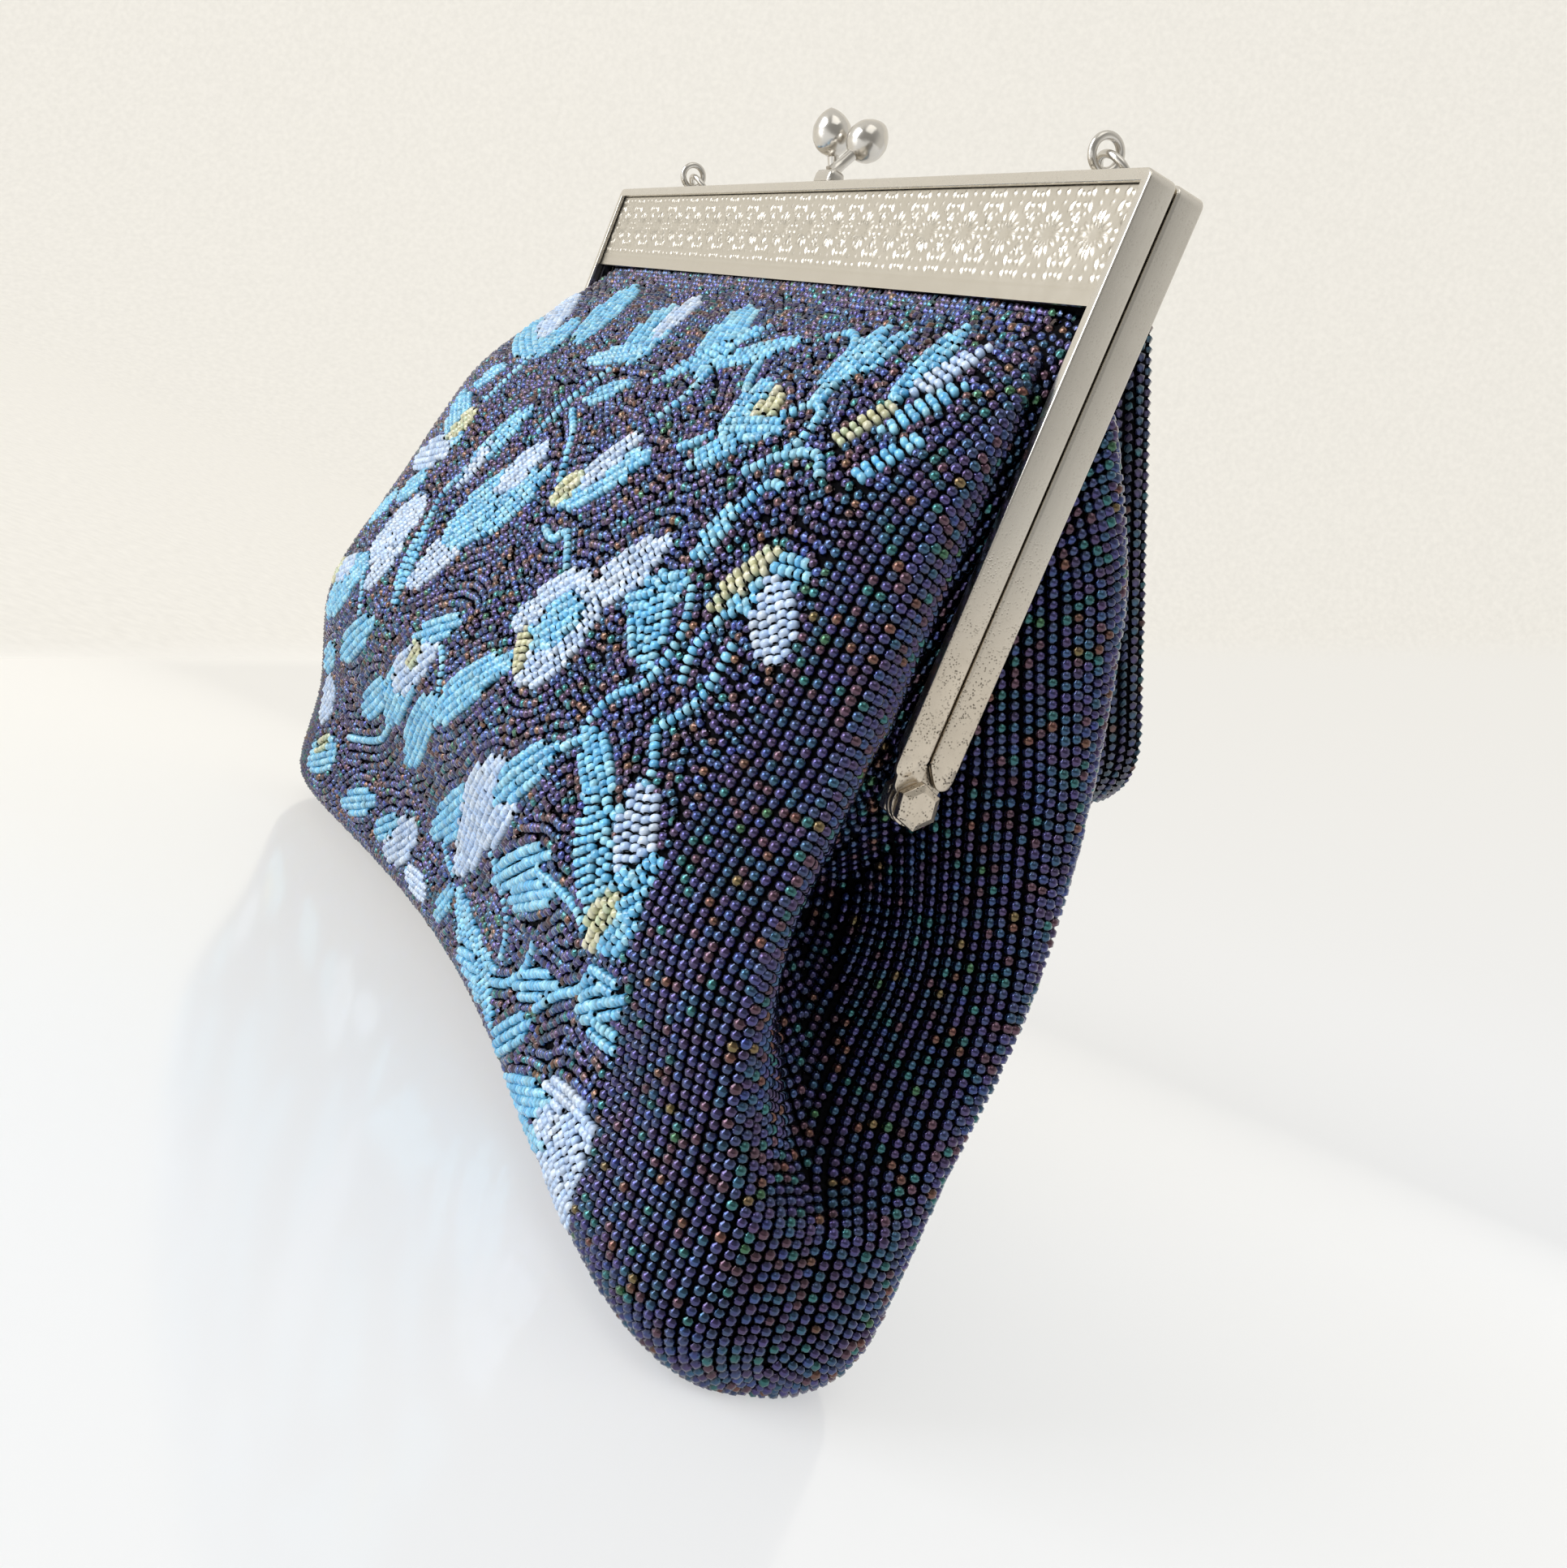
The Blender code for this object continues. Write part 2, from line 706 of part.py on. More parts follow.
def pouch_surface(side, drops, inset):
    """Points of one half of the pouch, row by row: the beaded face, or a surface set in from it."""
    drops = np.asarray(drops, float)[:, None]
    share = level_shares_at(drops)
    across, around = half_ring_shares().T
    width = half_widths_at(smooth_table(level_shares, width_shares, share))
    depth_shares = front_depth_shares if side < 0 else back_depth_shares
    depth = smooth_table(level_shares, depth_shares, share) * pouch_depth
    seam = half_widths_at(smooth_table(crease_level_shares, crease_width_shares, share))
    crease = width - np.minimum(seam, width)

    # The bottom turns under and ends in a narrow flat band
    end = bottom_start_drop + (bag_height - inset - bottom_start_drop) / bottom_flat_share
    fall = np.clip((drops - bottom_start_drop) / (end - bottom_start_drop), 0, 1)
    power = bottom_power_middle + (bottom_power_end - bottom_power_middle) * np.abs(across) ** 2
    rounding = (1 - fall**power) ** (1 / power)

    # The stuffed faces are fuller towards the ends low down, and the front leans to one end
    low = np.clip((share - waist_start_share) / (1 - waist_start_share), 0, 1)
    fullness = 1 - waist_share * low**2 * (3 - 2 * low) * (1 - across**2)
    if side < 0:
        ramp = np.clip((share - level_shares[1]) / (level_shares[5] - level_shares[1]), 0, 1)
        fullness = fullness * (1 - fullness_lean_share * across * ramp)
    reach = depth * fullness
    y = reach * around

    # The gusset folds inwards between its front and back ridges, flat beside the frame's arms
    beside_arm = np.clip((level_shares[7] - share) / (level_shares[7] - level_shares[6]), 0, 1)
    flat = arm_clear_depth * beside_arm
    edge = np.maximum(crease_edge_share * reach - flat, panel_thickness / 2)
    fold = (1 - np.clip((y - flat) / edge, 0, 1)) ** crease_power
    folded = np.clip(crease / panel_thickness, 0, 1)
    face_pull = np.clip((around - fold_face_shares[0]) / (fold_face_shares[1] - fold_face_shares[0]), 0, 1)
    pull = around * (1 - folded) + face_pull * folded
    x = across * width - np.sign(across) * crease * fold * np.abs(across) ** 8
    x = (x - inset * across) * (1 - bottom_narrow_share * fall**3)
    clear = side_seam_gap / 2
    y = clear + ((reach - clear) * around - inset * pull) * rounding
    arch = bottom_arch * (1 - (x / pouch_half_width) ** 2) * np.clip(share - level_shares[1], 0, 1) ** 2
    return np.stack([x, side * y, bag_height - drops + arch], axis=-1)


def below_hem(drops):
    """How far the beaded cloth has left its flat hem at each drop, from 0 to 1."""
    share = level_shares_at(np.asarray(drops))
    return np.clip((share - level_shares[2]) / (level_shares[3] - level_shares[2]), 0, 1)


def panel_inset(drops):
    """The beaded cloth is thinner in its hem than on the face."""
    return hem_thickness + (panel_thickness - hem_thickness) * below_hem(drops)


def shell(outer, inner):
    """A closed wall between two grids of points of the same size."""
    rows, columns = outer.shape[:2]
    mesh = bmesh.new()
    grids = [[[mesh.verts.new(point) for point in row] for row in grid] for grid in (outer, inner)]
    for layer, grid in enumerate(grids):
        for row in range(rows - 1):
            for column in range(columns - 1):
                near, after = grid[row][column], grid[row][column + 1]
                below, across = grid[row + 1][column], grid[row + 1][column + 1]
                for corners in ((near, after, across), (near, across, below)):
                    mesh.faces.new(corners if layer == 0 else corners[::-1])
    first, second = grids
    rim = [(0, column) for column in range(columns)]
    rim += [(row, columns - 1) for row in range(1, rows)]
    rim += [(rows - 1, column) for column in range(columns - 2, -1, -1)]
    rim += [(row, 0) for row in range(rows - 2, 0, -1)]
    for step, (row, column) in enumerate(rim):
        next_row, next_column = rim[(step + 1) % len(rim)]
        near, far = (row, column), (next_row, next_column)
        places = ((first, near), (second, near), (second, far), (first, far))
        mesh.faces.new([grid[place[0]][place[1]] for grid, place in places])
    bmesh.ops.remove_doubles(mesh, verts=mesh.verts, dist=weld_distance)
    return mesh


def row_drops(start, end, inset, closed):
    """Levels of a shell's rows between two drops, closer together round the bottom."""
    fixed = list(drops_at(np.array(row_level_shares)))
    margin = panel_thickness / 2
    drops = [start] + [drop for drop in fixed if start + margin < drop < end - margin]
    if not closed:
        return np.array(drops + [end])
    low = bag_height - inset
    curve = [bottom_start_drop + (low - bottom_start_drop) * share for share in bottom_row_shares]
    return np.array(drops + curve)


def pouch_panel(name, side, start, end, outer_inset, inner_inset, finish, parent=None):
    """A wall of the pouch between two levels, or with no lower level to the seam under the bottom."""
    closed = end is None
    grids = []
    for inset_of in (outer_inset, inner_inset):
        edge = float(inset_of(np.array([[bag_height]]))[0, 0])
        drops = row_drops(start, bag_height if closed else end, edge, closed)
        grid = pouch_surface(side, drops, inset_of(drops[:, None]))
        if closed:
            seam = grid[-1].copy()
            seam[:, 1] = side * side_seam_gap / 2
            grid = np.concatenate([grid, seam[None]])
        grids.append(grid)
    wall = shell(*grids)
    if side < 0:
        bmesh.ops.reverse_faces(wall, faces=wall.faces)
    return add_object(name, wall, finish, parent, smooth_degrees=75, turn_faces_out=False)


def face_inset(drops):
    """The strings of beads stand up in ribs down the face: every other line of points lies between two of them."""
    points = len(end_depth_shares) + len(face_width_shares)
    between = np.minimum(np.arange(2 * points), np.arange(2 * points)[::-1]) % 2
    above_bottom = np.clip((bottom_start_drop - drops) / bottom_turn_height, 0, 1)
    return string_relief * between * below_hem(drops) * above_bottom


def lining_outer(drops):
    return panel_inset(drops) + lining_gap


def lining_inner(drops):
    return lining_outer(drops) + lining_thickness


# The bag

for old in list(bpy.data.objects):
    bpy.data.objects.remove(old, do_unlink=True)

nickel = material("worn nickel plate", (0.56, 0.55, 0.52), 0.32, 1.0)
embossed_nickel = material("embossed nickel plate", (0.62, 0.60, 0.56), 0.38, 1.0)
paper_cord = material("paper cord", (0.05, 0.05, 0.07), 0.9, 0.0)
front_beads = material("dark iris beads with pale blue flowers", (0.09, 0.10, 0.24), 0.3, 0.0)
dark_beads = material("dark iris beads", (0.03, 0.03, 0.09), 0.3, 0.0)
satin = material("satin lining", (0.05, 0.05, 0.10), 0.6, 0.0)
strap_beads = material("braided dark beads", (0.04, 0.05, 0.11), 0.35, 0.0)

frame_hinge = add_pivot("front_frame_hinge", (0, 0, hinge_height))
handle_hinge = add_pivot("handle_hinge", (0, (half_depth + face_inner) / 2, bag_height + loop_rise))

frame_half("back_frame", 1, nickel)
frame_half("front_frame", -1, nickel, frame_hinge)
embossed_plate("back_plate", 1, embossed_nickel)
embossed_plate("front_plate", -1, embossed_nickel, frame_hinge)
channel_strip("back_channel_cord", 1, paper_cord)
channel_strip("front_channel_cord", -1, paper_cord, frame_hinge)

for hand, word in ((-1, "left"), (1, "right")):
    hinge_pin(f"{word}_hinge_pin", hand, nickel)
    hinge_cap(f"{word}_hinge_cap", hand, nickel, frame_hinge)
    wire_loop(f"{word}_handle_loop", hand, nickel)
    link_ring(f"{word}_link_ring", hand, nickel, handle_hinge)
    strap_tab(f"{word}_strap_tab", hand, nickel, handle_hinge)

clasp(1, nickel)
clasp(-1, nickel, frame_hinge)
beaded_strap(strap_beads, handle_hinge)

split_high = panel_split_drop - seat_gap / 2
split_low = panel_split_drop + seat_gap / 2
pouch_panel("back_panel", 1, hem_drop, None, face_inset, panel_inset, dark_beads)
pouch_panel("front_lower_panel", -1, split_low, None, face_inset, panel_inset, front_beads)
pouch_panel("front_upper_panel", -1, hem_drop, split_high, face_inset, panel_inset, front_beads, frame_hinge)
pouch_panel("back_lining", 1, hem_drop, None, lining_outer, lining_inner, satin)
pouch_panel("front_lower_lining", -1, split_low, None, lining_outer, lining_inner, satin)
pouch_panel(
    "front_upper_lining", -1, hem_drop, split_high, lining_outer, lining_inner, satin, frame_hinge
)
stand_on_origin()
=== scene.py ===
import math

import bmesh
import bpy
import numpy as np
from mathutils import Matrix, Vector, kdtree


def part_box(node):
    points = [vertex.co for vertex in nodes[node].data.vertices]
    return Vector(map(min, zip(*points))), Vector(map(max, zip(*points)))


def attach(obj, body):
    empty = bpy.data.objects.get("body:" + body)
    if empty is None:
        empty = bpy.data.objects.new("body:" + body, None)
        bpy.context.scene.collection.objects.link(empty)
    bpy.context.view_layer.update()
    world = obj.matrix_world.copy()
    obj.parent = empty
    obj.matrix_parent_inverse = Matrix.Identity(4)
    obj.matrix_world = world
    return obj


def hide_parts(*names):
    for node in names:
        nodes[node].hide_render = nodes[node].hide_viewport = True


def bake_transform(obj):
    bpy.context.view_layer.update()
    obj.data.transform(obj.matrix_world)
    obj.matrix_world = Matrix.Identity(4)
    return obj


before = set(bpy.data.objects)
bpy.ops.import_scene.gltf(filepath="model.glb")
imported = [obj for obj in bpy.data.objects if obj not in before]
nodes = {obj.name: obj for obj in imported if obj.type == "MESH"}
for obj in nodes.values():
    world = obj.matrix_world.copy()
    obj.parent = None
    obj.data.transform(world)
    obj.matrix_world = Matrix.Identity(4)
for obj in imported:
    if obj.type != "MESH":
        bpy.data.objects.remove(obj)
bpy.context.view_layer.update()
rng = np.random.default_rng(1924)

# The frame halves, in metres, as the metal nodes have them. Depth 0 is the plane between the halves.
metalFrame = {
    "height": 0.1524, "halfWidth": 0.095, "halfDepth": 0.0044, "faceInner": 0.00015, "sheet": 0.0007,
    "rim": 0.0016, "flange": 0.0024, "cornerRadius": 0.0014, "leastRadius": 0.00008, "armDrop": 0.0740,
    "endDrop": 0.0766, "hingeDrop": 0.0795, "earRadius": 0.0030, "plateHeight": 0.0166, "gap": 0.0003,
    "topClear": 0.0003,
}
# How far the bag was moved to stand on the origin, read from where its front frame is
frontLow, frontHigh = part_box("front_frame")
moved = np.array([0.0, -metalFrame["halfDepth"] - frontLow.y, metalFrame["height"] - frontHigh.z])


# Small helpers for materials and meshes

def linear(code):
    # sRGB hex to linear: a power curve of 2.4 with a straight toe
    parts = [int(code[k:k + 2], 16) / 255 for k in (1, 3, 5)]
    return [p / 12.92 if p <= 0.04045 else ((p + 0.055) / 1.055) ** 2.4 for p in parts]


def feed(tree, node, inputs):
    # Each input is given a value, a hex colour, a socket, or a node's first output in use
    for key, value in inputs.items():
        if isinstance(value, bpy.types.Node):
            value = next(output for output in value.outputs if output.enabled)
        if isinstance(value, bpy.types.NodeSocket):
            tree.links.new(value, node.inputs[key])
        else:
            node.inputs[key].default_value = (*linear(value), 1) if isinstance(value, str) else value


def addNode(tree, kind, values=None):
    # One node with its settings, which have names in lower case, and then its inputs
    node = tree.nodes.new("ShaderNode" + kind)
    inputs = {}
    for key, value in (values or {}).items():
        if str(key)[0].islower():
            setattr(node, key, value)
        else:
            inputs[key] = value
    feed(tree, node, inputs)
    return node


def newMaterial(name, inputs):
    # A material with its shader, and the place on the object that its patterns follow
    made = bpy.data.materials.new(name)
    made.use_nodes = True
    tree = made.node_tree
    shader = tree.nodes["Principled BSDF"]
    feed(tree, shader, inputs)
    return made, tree, shader, addNode(tree, "TexCoord").outputs["Object"]


def makePiece(name, points, faces, material, smoothDegrees=40, recalculate=True):
    # A mesh object at the origin from an array of points and a list of faces
    data = bpy.data.meshes.new(name)
    data.from_pydata(np.asarray(points).reshape(-1, 3).tolist(), [], [list(face) for face in faces])
    if recalculate:
        mesh = bmesh.new()
        mesh.from_mesh(data)
        bmesh.ops.recalc_face_normals(mesh, faces=mesh.faces)
        mesh.to_mesh(data)
        mesh.free()
    data.shade_smooth()
    data.set_sharp_from_angle(angle=math.radians(smoothDegrees))
    data.materials.append(material)
    return addObject(name, data)


def addObject(name, data):
    made = bpy.data.objects.new(name, data)
    bpy.context.scene.collection.objects.link(made)
    return made


def unit(vectors):
    return vectors / (np.linalg.norm(vectors, axis=-1, keepdims=True) + 1e-12)


def lengthsAlong(points):
    # How far along a line each of its points is
    return np.concatenate([[0], np.cumsum(np.linalg.norm(np.diff(points, axis=0), axis=1))])


def readAlong(where, places, values):
    # Straight interpolation in each column of a table of values
    return np.stack([np.interp(where, places, column) for column in values.T], -1)


def gridFaces(rows, columns, offset=0, closed=False, looped=False):
    # Quads between neighbouring rows and columns of a grid of points. The columns are joined into rings if
    # closed, and the last row to the first if looped.
    high = rows if looped else rows - 1
    wide = columns if closed else columns - 1
    row, column = np.meshgrid(np.arange(high), np.arange(wide), indexing="ij")
    here, below = row * columns, (row + 1) % rows * columns
    after = (column + 1) % columns
    quads = np.stack([here + column, below + column, below + after, here + after], -1)
    return (quads.reshape(-1, 4) + offset).tolist()


def gridSides(rows, columns):
    # The four sides of a grid in turn, each with both its corners
    index = np.arange(rows * columns).reshape(rows, columns)
    return [side.tolist() for side in (index[0], index[:, -1], index[-1, ::-1], index[::-1, 0])]


def loft(rings):
    # Closed rings of points joined in order, with both ends capped
    rings = np.asarray(rings, float)
    count, around = rings.shape[:2]
    faces = gridFaces(count, around, closed=True)
    faces.append(list(range(around)))
    faces.append(list(range((count - 1) * around, count * around))[::-1])
    return rings.reshape(-1, 3), faces


def joined(parts):
    # Several (points, faces) as one
    points, faces, offset = [], [], 0
    for some, its in parts:
        points.append(some)
        faces += [[offset + k for k in face] for face in its]
        offset += len(some)
    return np.concatenate(points), faces


def roundedOutline(corners, radius, steps=4):
    # Each corner becomes a quadratic curve that starts and ends one radius away along its two edges
    corners = np.asarray(corners, float)
    before, after = np.roll(corners, 1, 0) - corners, np.roll(corners, -1, 0) - corners
    lengths = [np.linalg.norm(side, axis=1, keepdims=True) for side in (before, after)]
    reach = [np.minimum(np.reshape(radius, (-1, 1)), 0.45 * length) / length for length in lengths]
    start, end = corners + before * reach[0], corners + after * reach[1]
    t = np.linspace(0, 1, steps + 1)[None, :, None]
    curve = start[:, None] * (1 - t) ** 2 + 2 * corners[:, None] * t * (1 - t) + end[:, None] * t**2
    return curve.reshape(-1, 2)


def roundedBar(half, thick, radius, steps=4):
    # The outline of a bar from its half width and half thickness
    return roundedOutline([(-half, -thick), (half, -thick), (half, thick), (-half, thick)], radius, steps)


def insetOutline(outline, distance):
    # Every point moves in by the distance along the mean of its two edges' normals
    after, before = np.roll(outline, -1, 0) - outline, outline - np.roll(outline, 1, 0)
    run = unit(after) + unit(before)
    x, y = outline.T
    area = np.sum(x * np.roll(y, -1) - np.roll(x, -1) * y)
    return outline + unit(np.stack([-run[:, 1], run[:, 0]], 1)) * distance * np.sign(area)


def slab(outline, near, far, bevel, farBevel=None):
    # An outline in (Y, Z) as a plate between two values of X, with its rims eased by the bevels
    farBevel = bevel if farBevel is None else farBevel
    toward = np.sign(far - near)
    levels = ((near, bevel), (near + toward * bevel * 0.3, bevel * 0.3), (near + toward * bevel, 0),
              (far - toward * farBevel, 0), (far, farBevel))
    rings = []
    for x, distance in levels:
        flat = insetOutline(outline, distance) if distance else outline
        rings.append(np.column_stack([np.full(len(flat), x), flat]))
    return loft(rings)


def torus(center, across, along, radius, wire, steps=64, sides=20):
    # Points of a ring: centre + radius * out + wire * (out * cos b + normal * sin b)
    a = np.linspace(0, 2 * np.pi, steps, endpoint=False)[:, None, None]
    b = np.linspace(0, 2 * np.pi, sides, endpoint=False)[None, :, None]
    across, along = np.asarray(across, float), np.asarray(along, float)
    normal = np.cross(across, along)
    out = across * np.cos(a) + along * np.sin(a)
    points = np.asarray(center) + out * radius + wire * (out * np.cos(b) + normal * np.sin(b))
    return points.reshape(-1, 3), gridFaces(steps, sides, closed=True, looped=True)


def lathe(base, axis, heights, radii, sides=32):
    # A profile of (height along the axis, radius) turned round the axis
    axis = np.asarray(axis, float) / np.linalg.norm(axis)
    across = np.cross(axis, (0.0, 1.0, 0.0) if abs(axis[1]) < 0.9 else (1.0, 0.0, 0.0))
    across /= np.linalg.norm(across)
    along = np.cross(axis, across)
    turn = np.linspace(0, 2 * np.pi, sides, endpoint=False)[None, :, None]
    out = across * np.cos(turn) + along * np.sin(turn)
    heights, radii = (np.asarray(values)[:, None, None] for values in (heights, radii))
    rings = np.asarray(base) + axis * heights + out * radii
    return loft(rings)


def smoothTable(places, values, where):
    # A smooth curve through a table of values that never overshoots them
    places, values = np.asarray(places, float), np.asarray(values, float)
    steps = np.diff(values) / np.diff(places)
    slopes = np.zeros(len(values))
    same = steps[:-1] * steps[1:] > 0
    slopes[1:-1][same] = 2 / (1 / steps[:-1][same] + 1 / steps[1:][same])
    where = np.clip(where, places[0], places[-1])
    at = np.clip(np.searchsorted(places, where, side="right") - 1, 0, len(places) - 2)
    wide = places[at + 1] - places[at]
    t = (where - places[at]) / wide
    rise = slopes[at] * wide * t * (1 - t) ** 2 + slopes[at + 1] * wide * t**2 * (t - 1)
    return values[at] * (1 + 2 * t) * (1 - t) ** 2 + values[at + 1] * t**2 * (3 - 2 * t) + rise


# The pouch's face: a stuffed half ring at each level, with gussets that fold in and a rounded bottom. Levels
# are shares of the frame's height, and widths and depths are shares of the widest and the deepest.
pouch = {
    "halfWidth": 0.1158, "depth": 0.0377, "hemDrop": 0.0029, "bottomDrop": 0.138, "arch": 0.003,
    "levels": (0.0, 0.1115, 0.119, 0.197, 0.328, 0.519, 0.689, 0.853, 1.0),
    "widths": (0.797, 0.797, 0.799, 0.838, 0.868, 0.928, 0.990, 1.0, 1.0),
    "frontDepths": (0.0663, 0.0663, 0.110, 0.413, 0.743, 0.867, 1.0, 0.890, 0.890),
    "backDepths": (0.0663, 0.0663, 0.110, 0.450, 0.850, 0.975, 0.875, 0.796, 0.796),
    "creaseLevels": (0.0, 0.470, 0.495, 0.525, 0.580, 0.635, 0.700, 0.750, 0.800, 0.850, 1.0),
    "creaseWidths": (0.797, 0.797, 0.780, 0.775, 0.742, 0.700, 0.760, 0.823, 0.889, 0.975, 1.0),
    "cornerPower": 3.43, "creaseEdge": 0.62, "creasePower": 1.3, "creaseReach": 8, "creaseLeast": 0.0010,
    "lean": 0.18, "waist": 0.46, "waistStart": 0.537, "bottomPowers": (2.1, 4.07), "bottomFlat": 0.965,
    "bottomNarrow": 0.03, "armClear": 0.0050, "seamGap": 0.0003, "cornerSplit": 0.75, "seamDepth": 0.00012,
    "clothSteps": (0.119, 0.078),
}


def ramp(value, low, high):
    # 0 up to low, 1 from high on, and straight between them
    return np.clip((value - low) / (high - low), 0, 1)


def pouchSurface(side, drops, turns):
    # Half rings of a superellipse, as wide and deep as the tables say at each drop from the frame's top. The
    # gusset is pulled in by the crease towards the seam at depth 0, and under the bottom the depth falls off as
    # a power curve.
    p = pouch
    drops = np.asarray(drops, float)[:, None]
    share = drops / metalFrame["height"]
    across = np.sign(np.cos(turns)) * np.abs(np.cos(turns)) ** (2 / p["cornerPower"])
    around = np.abs(np.sin(turns)) ** (2 / p["cornerPower"])
    width = smoothTable(p["levels"], p["widths"], share) * p["halfWidth"]
    depth = smoothTable(p["levels"], p["frontDepths"] if side < 0 else p["backDepths"], share) * p["depth"]
    seam = smoothTable(p["creaseLevels"], p["creaseWidths"], share) * p["halfWidth"]
    crease = width - np.minimum(seam, width)
    end = p["bottomDrop"] + (metalFrame["height"] - p["bottomDrop"]) / p["bottomFlat"]
    fall = ramp(drops, p["bottomDrop"], end)
    low, high = p["bottomPowers"]
    power = low + (high - low) * np.abs(across) ** 2
    rounding = (1 - fall**power) ** (1 / power)
    under = ramp(share, p["waistStart"], 1)
    fullness = 1 - p["waist"] * under**2 * (3 - 2 * under) * (1 - across**2)
    if side < 0:
        fullness = fullness * (1 - p["lean"] * across * ramp(share, p["levels"][1], p["levels"][5]))
    reach = depth * fullness
    flat = p["armClear"] * ramp(-share, -p["levels"][7], -p["levels"][6])
    edge = np.maximum(p["creaseEdge"] * reach - flat, p["creaseLeast"])
    fold = (1 - np.clip((reach * around - flat) / edge, 0, 1)) ** p["creasePower"]
    x = across * width - np.sign(across) * crease * fold * np.abs(across) ** p["creaseReach"]
    x = x * (1 - p["bottomNarrow"] * fall**3)
    clear = p["seamGap"] / 2
    y = clear + (reach - clear) * around * rounding
    arch = p["arch"] * (1 - (x / p["halfWidth"]) ** 2) * np.clip(share - p["levels"][1], 0, 1) ** 2
    return np.stack([x, side * y, metalFrame["height"] - drops + arch], axis=-1) - moved


def bottomCurve(count, low):
    # Drops down the face, evenly to where the bottom turns and closer along a sine below that
    start = pouch["bottomDrop"]
    turned = start + (low - start) * np.sin(np.linspace(0, np.pi / 2, count // 5))[1:]
    return np.concatenate([np.linspace(pouch["hemDrop"], start, count), turned])


def ringTurns(ends, middle):
    # Turns round half a ring from seam to seam, even in depth at its ends and in width between them
    corner, split = pouch["cornerPower"], pouch["cornerSplit"]
    right = np.arcsin(np.linspace(0, split, ends) ** (corner / 2))
    widest = (1 - split**corner) ** (1 / corner)
    face = np.arccos(np.linspace(widest, 0, middle)[1:] ** (corner / 2))
    quarter = np.concatenate([right, face])
    return np.concatenate([np.pi - quarter, quarter[::-1][1:]])


def surfaceNormals(points, side):
    # Outward normals from the cross product of the steps between neighbouring rows and columns
    return unit(np.cross(np.gradient(points, axis=0), np.gradient(points, axis=1)) * -side)


# How a face is mapped: half the map's width and its step, and how many levels and turns the surface is read at
mapping = {"half": 0.150, "step": 0.0005, "levels": 260, "turns": (120, 100)}


def faceMap(side):
    # The face as an even grid: s runs along each level from the middle, t down the middle line, both in metres.
    drops = bottomCurve(mapping["levels"], metalFrame["height"])
    points = pouchSurface(side, drops, ringTurns(*mapping["turns"]))
    middle = points.shape[1] // 2
    arcs = np.stack([lengthsAlong(row) for row in points])
    arcs -= arcs[:, middle:middle + 1]
    down = lengthsAlong(points[:, middle])
    t = np.arange(0, down[-1], mapping["step"])
    s = np.arange(-mapping["half"], mapping["half"] + 0.0001, mapping["step"])
    at = np.interp(t, down, np.arange(len(down)))
    first = np.minimum(at.astype(int), len(down) - 2)
    share = (at - first)[:, None]

    def between(values):
        each = share.reshape(-1, *[1] * (values.ndim - 1))
        return values[first] * (1 - each) + values[first + 1] * each

    rowArcs = between(arcs)
    grids = [np.stack([readAlong(s, arc, row) for arc, row in zip(rowArcs, between(source))])
             for source in (points, surfaceNormals(points, side))]
    return {"s": s, "t": t, "points": grids[0], "normals": grids[1], "ends": rowArcs[:, [0, -1]]}


def sampleGrid(grid, places):
    # Bilinear reading of a grid of vectors at fractional (row, column)
    places = np.clip(places, 0, np.array(grid.shape[:2]) - 1.001)
    low = places.astype(int)
    r, c = (places - low).T[:, :, None]
    i, j = low.T
    left, right = (grid[i, k] * (1 - r) + grid[i + 1, k] * r for k in (j, j + 1))
    return left * (1 - c) + right * c


faces = {side: faceMap(side) for side in (-1, 1)}
print("face maps ready", faces[-1]["points"].shape)



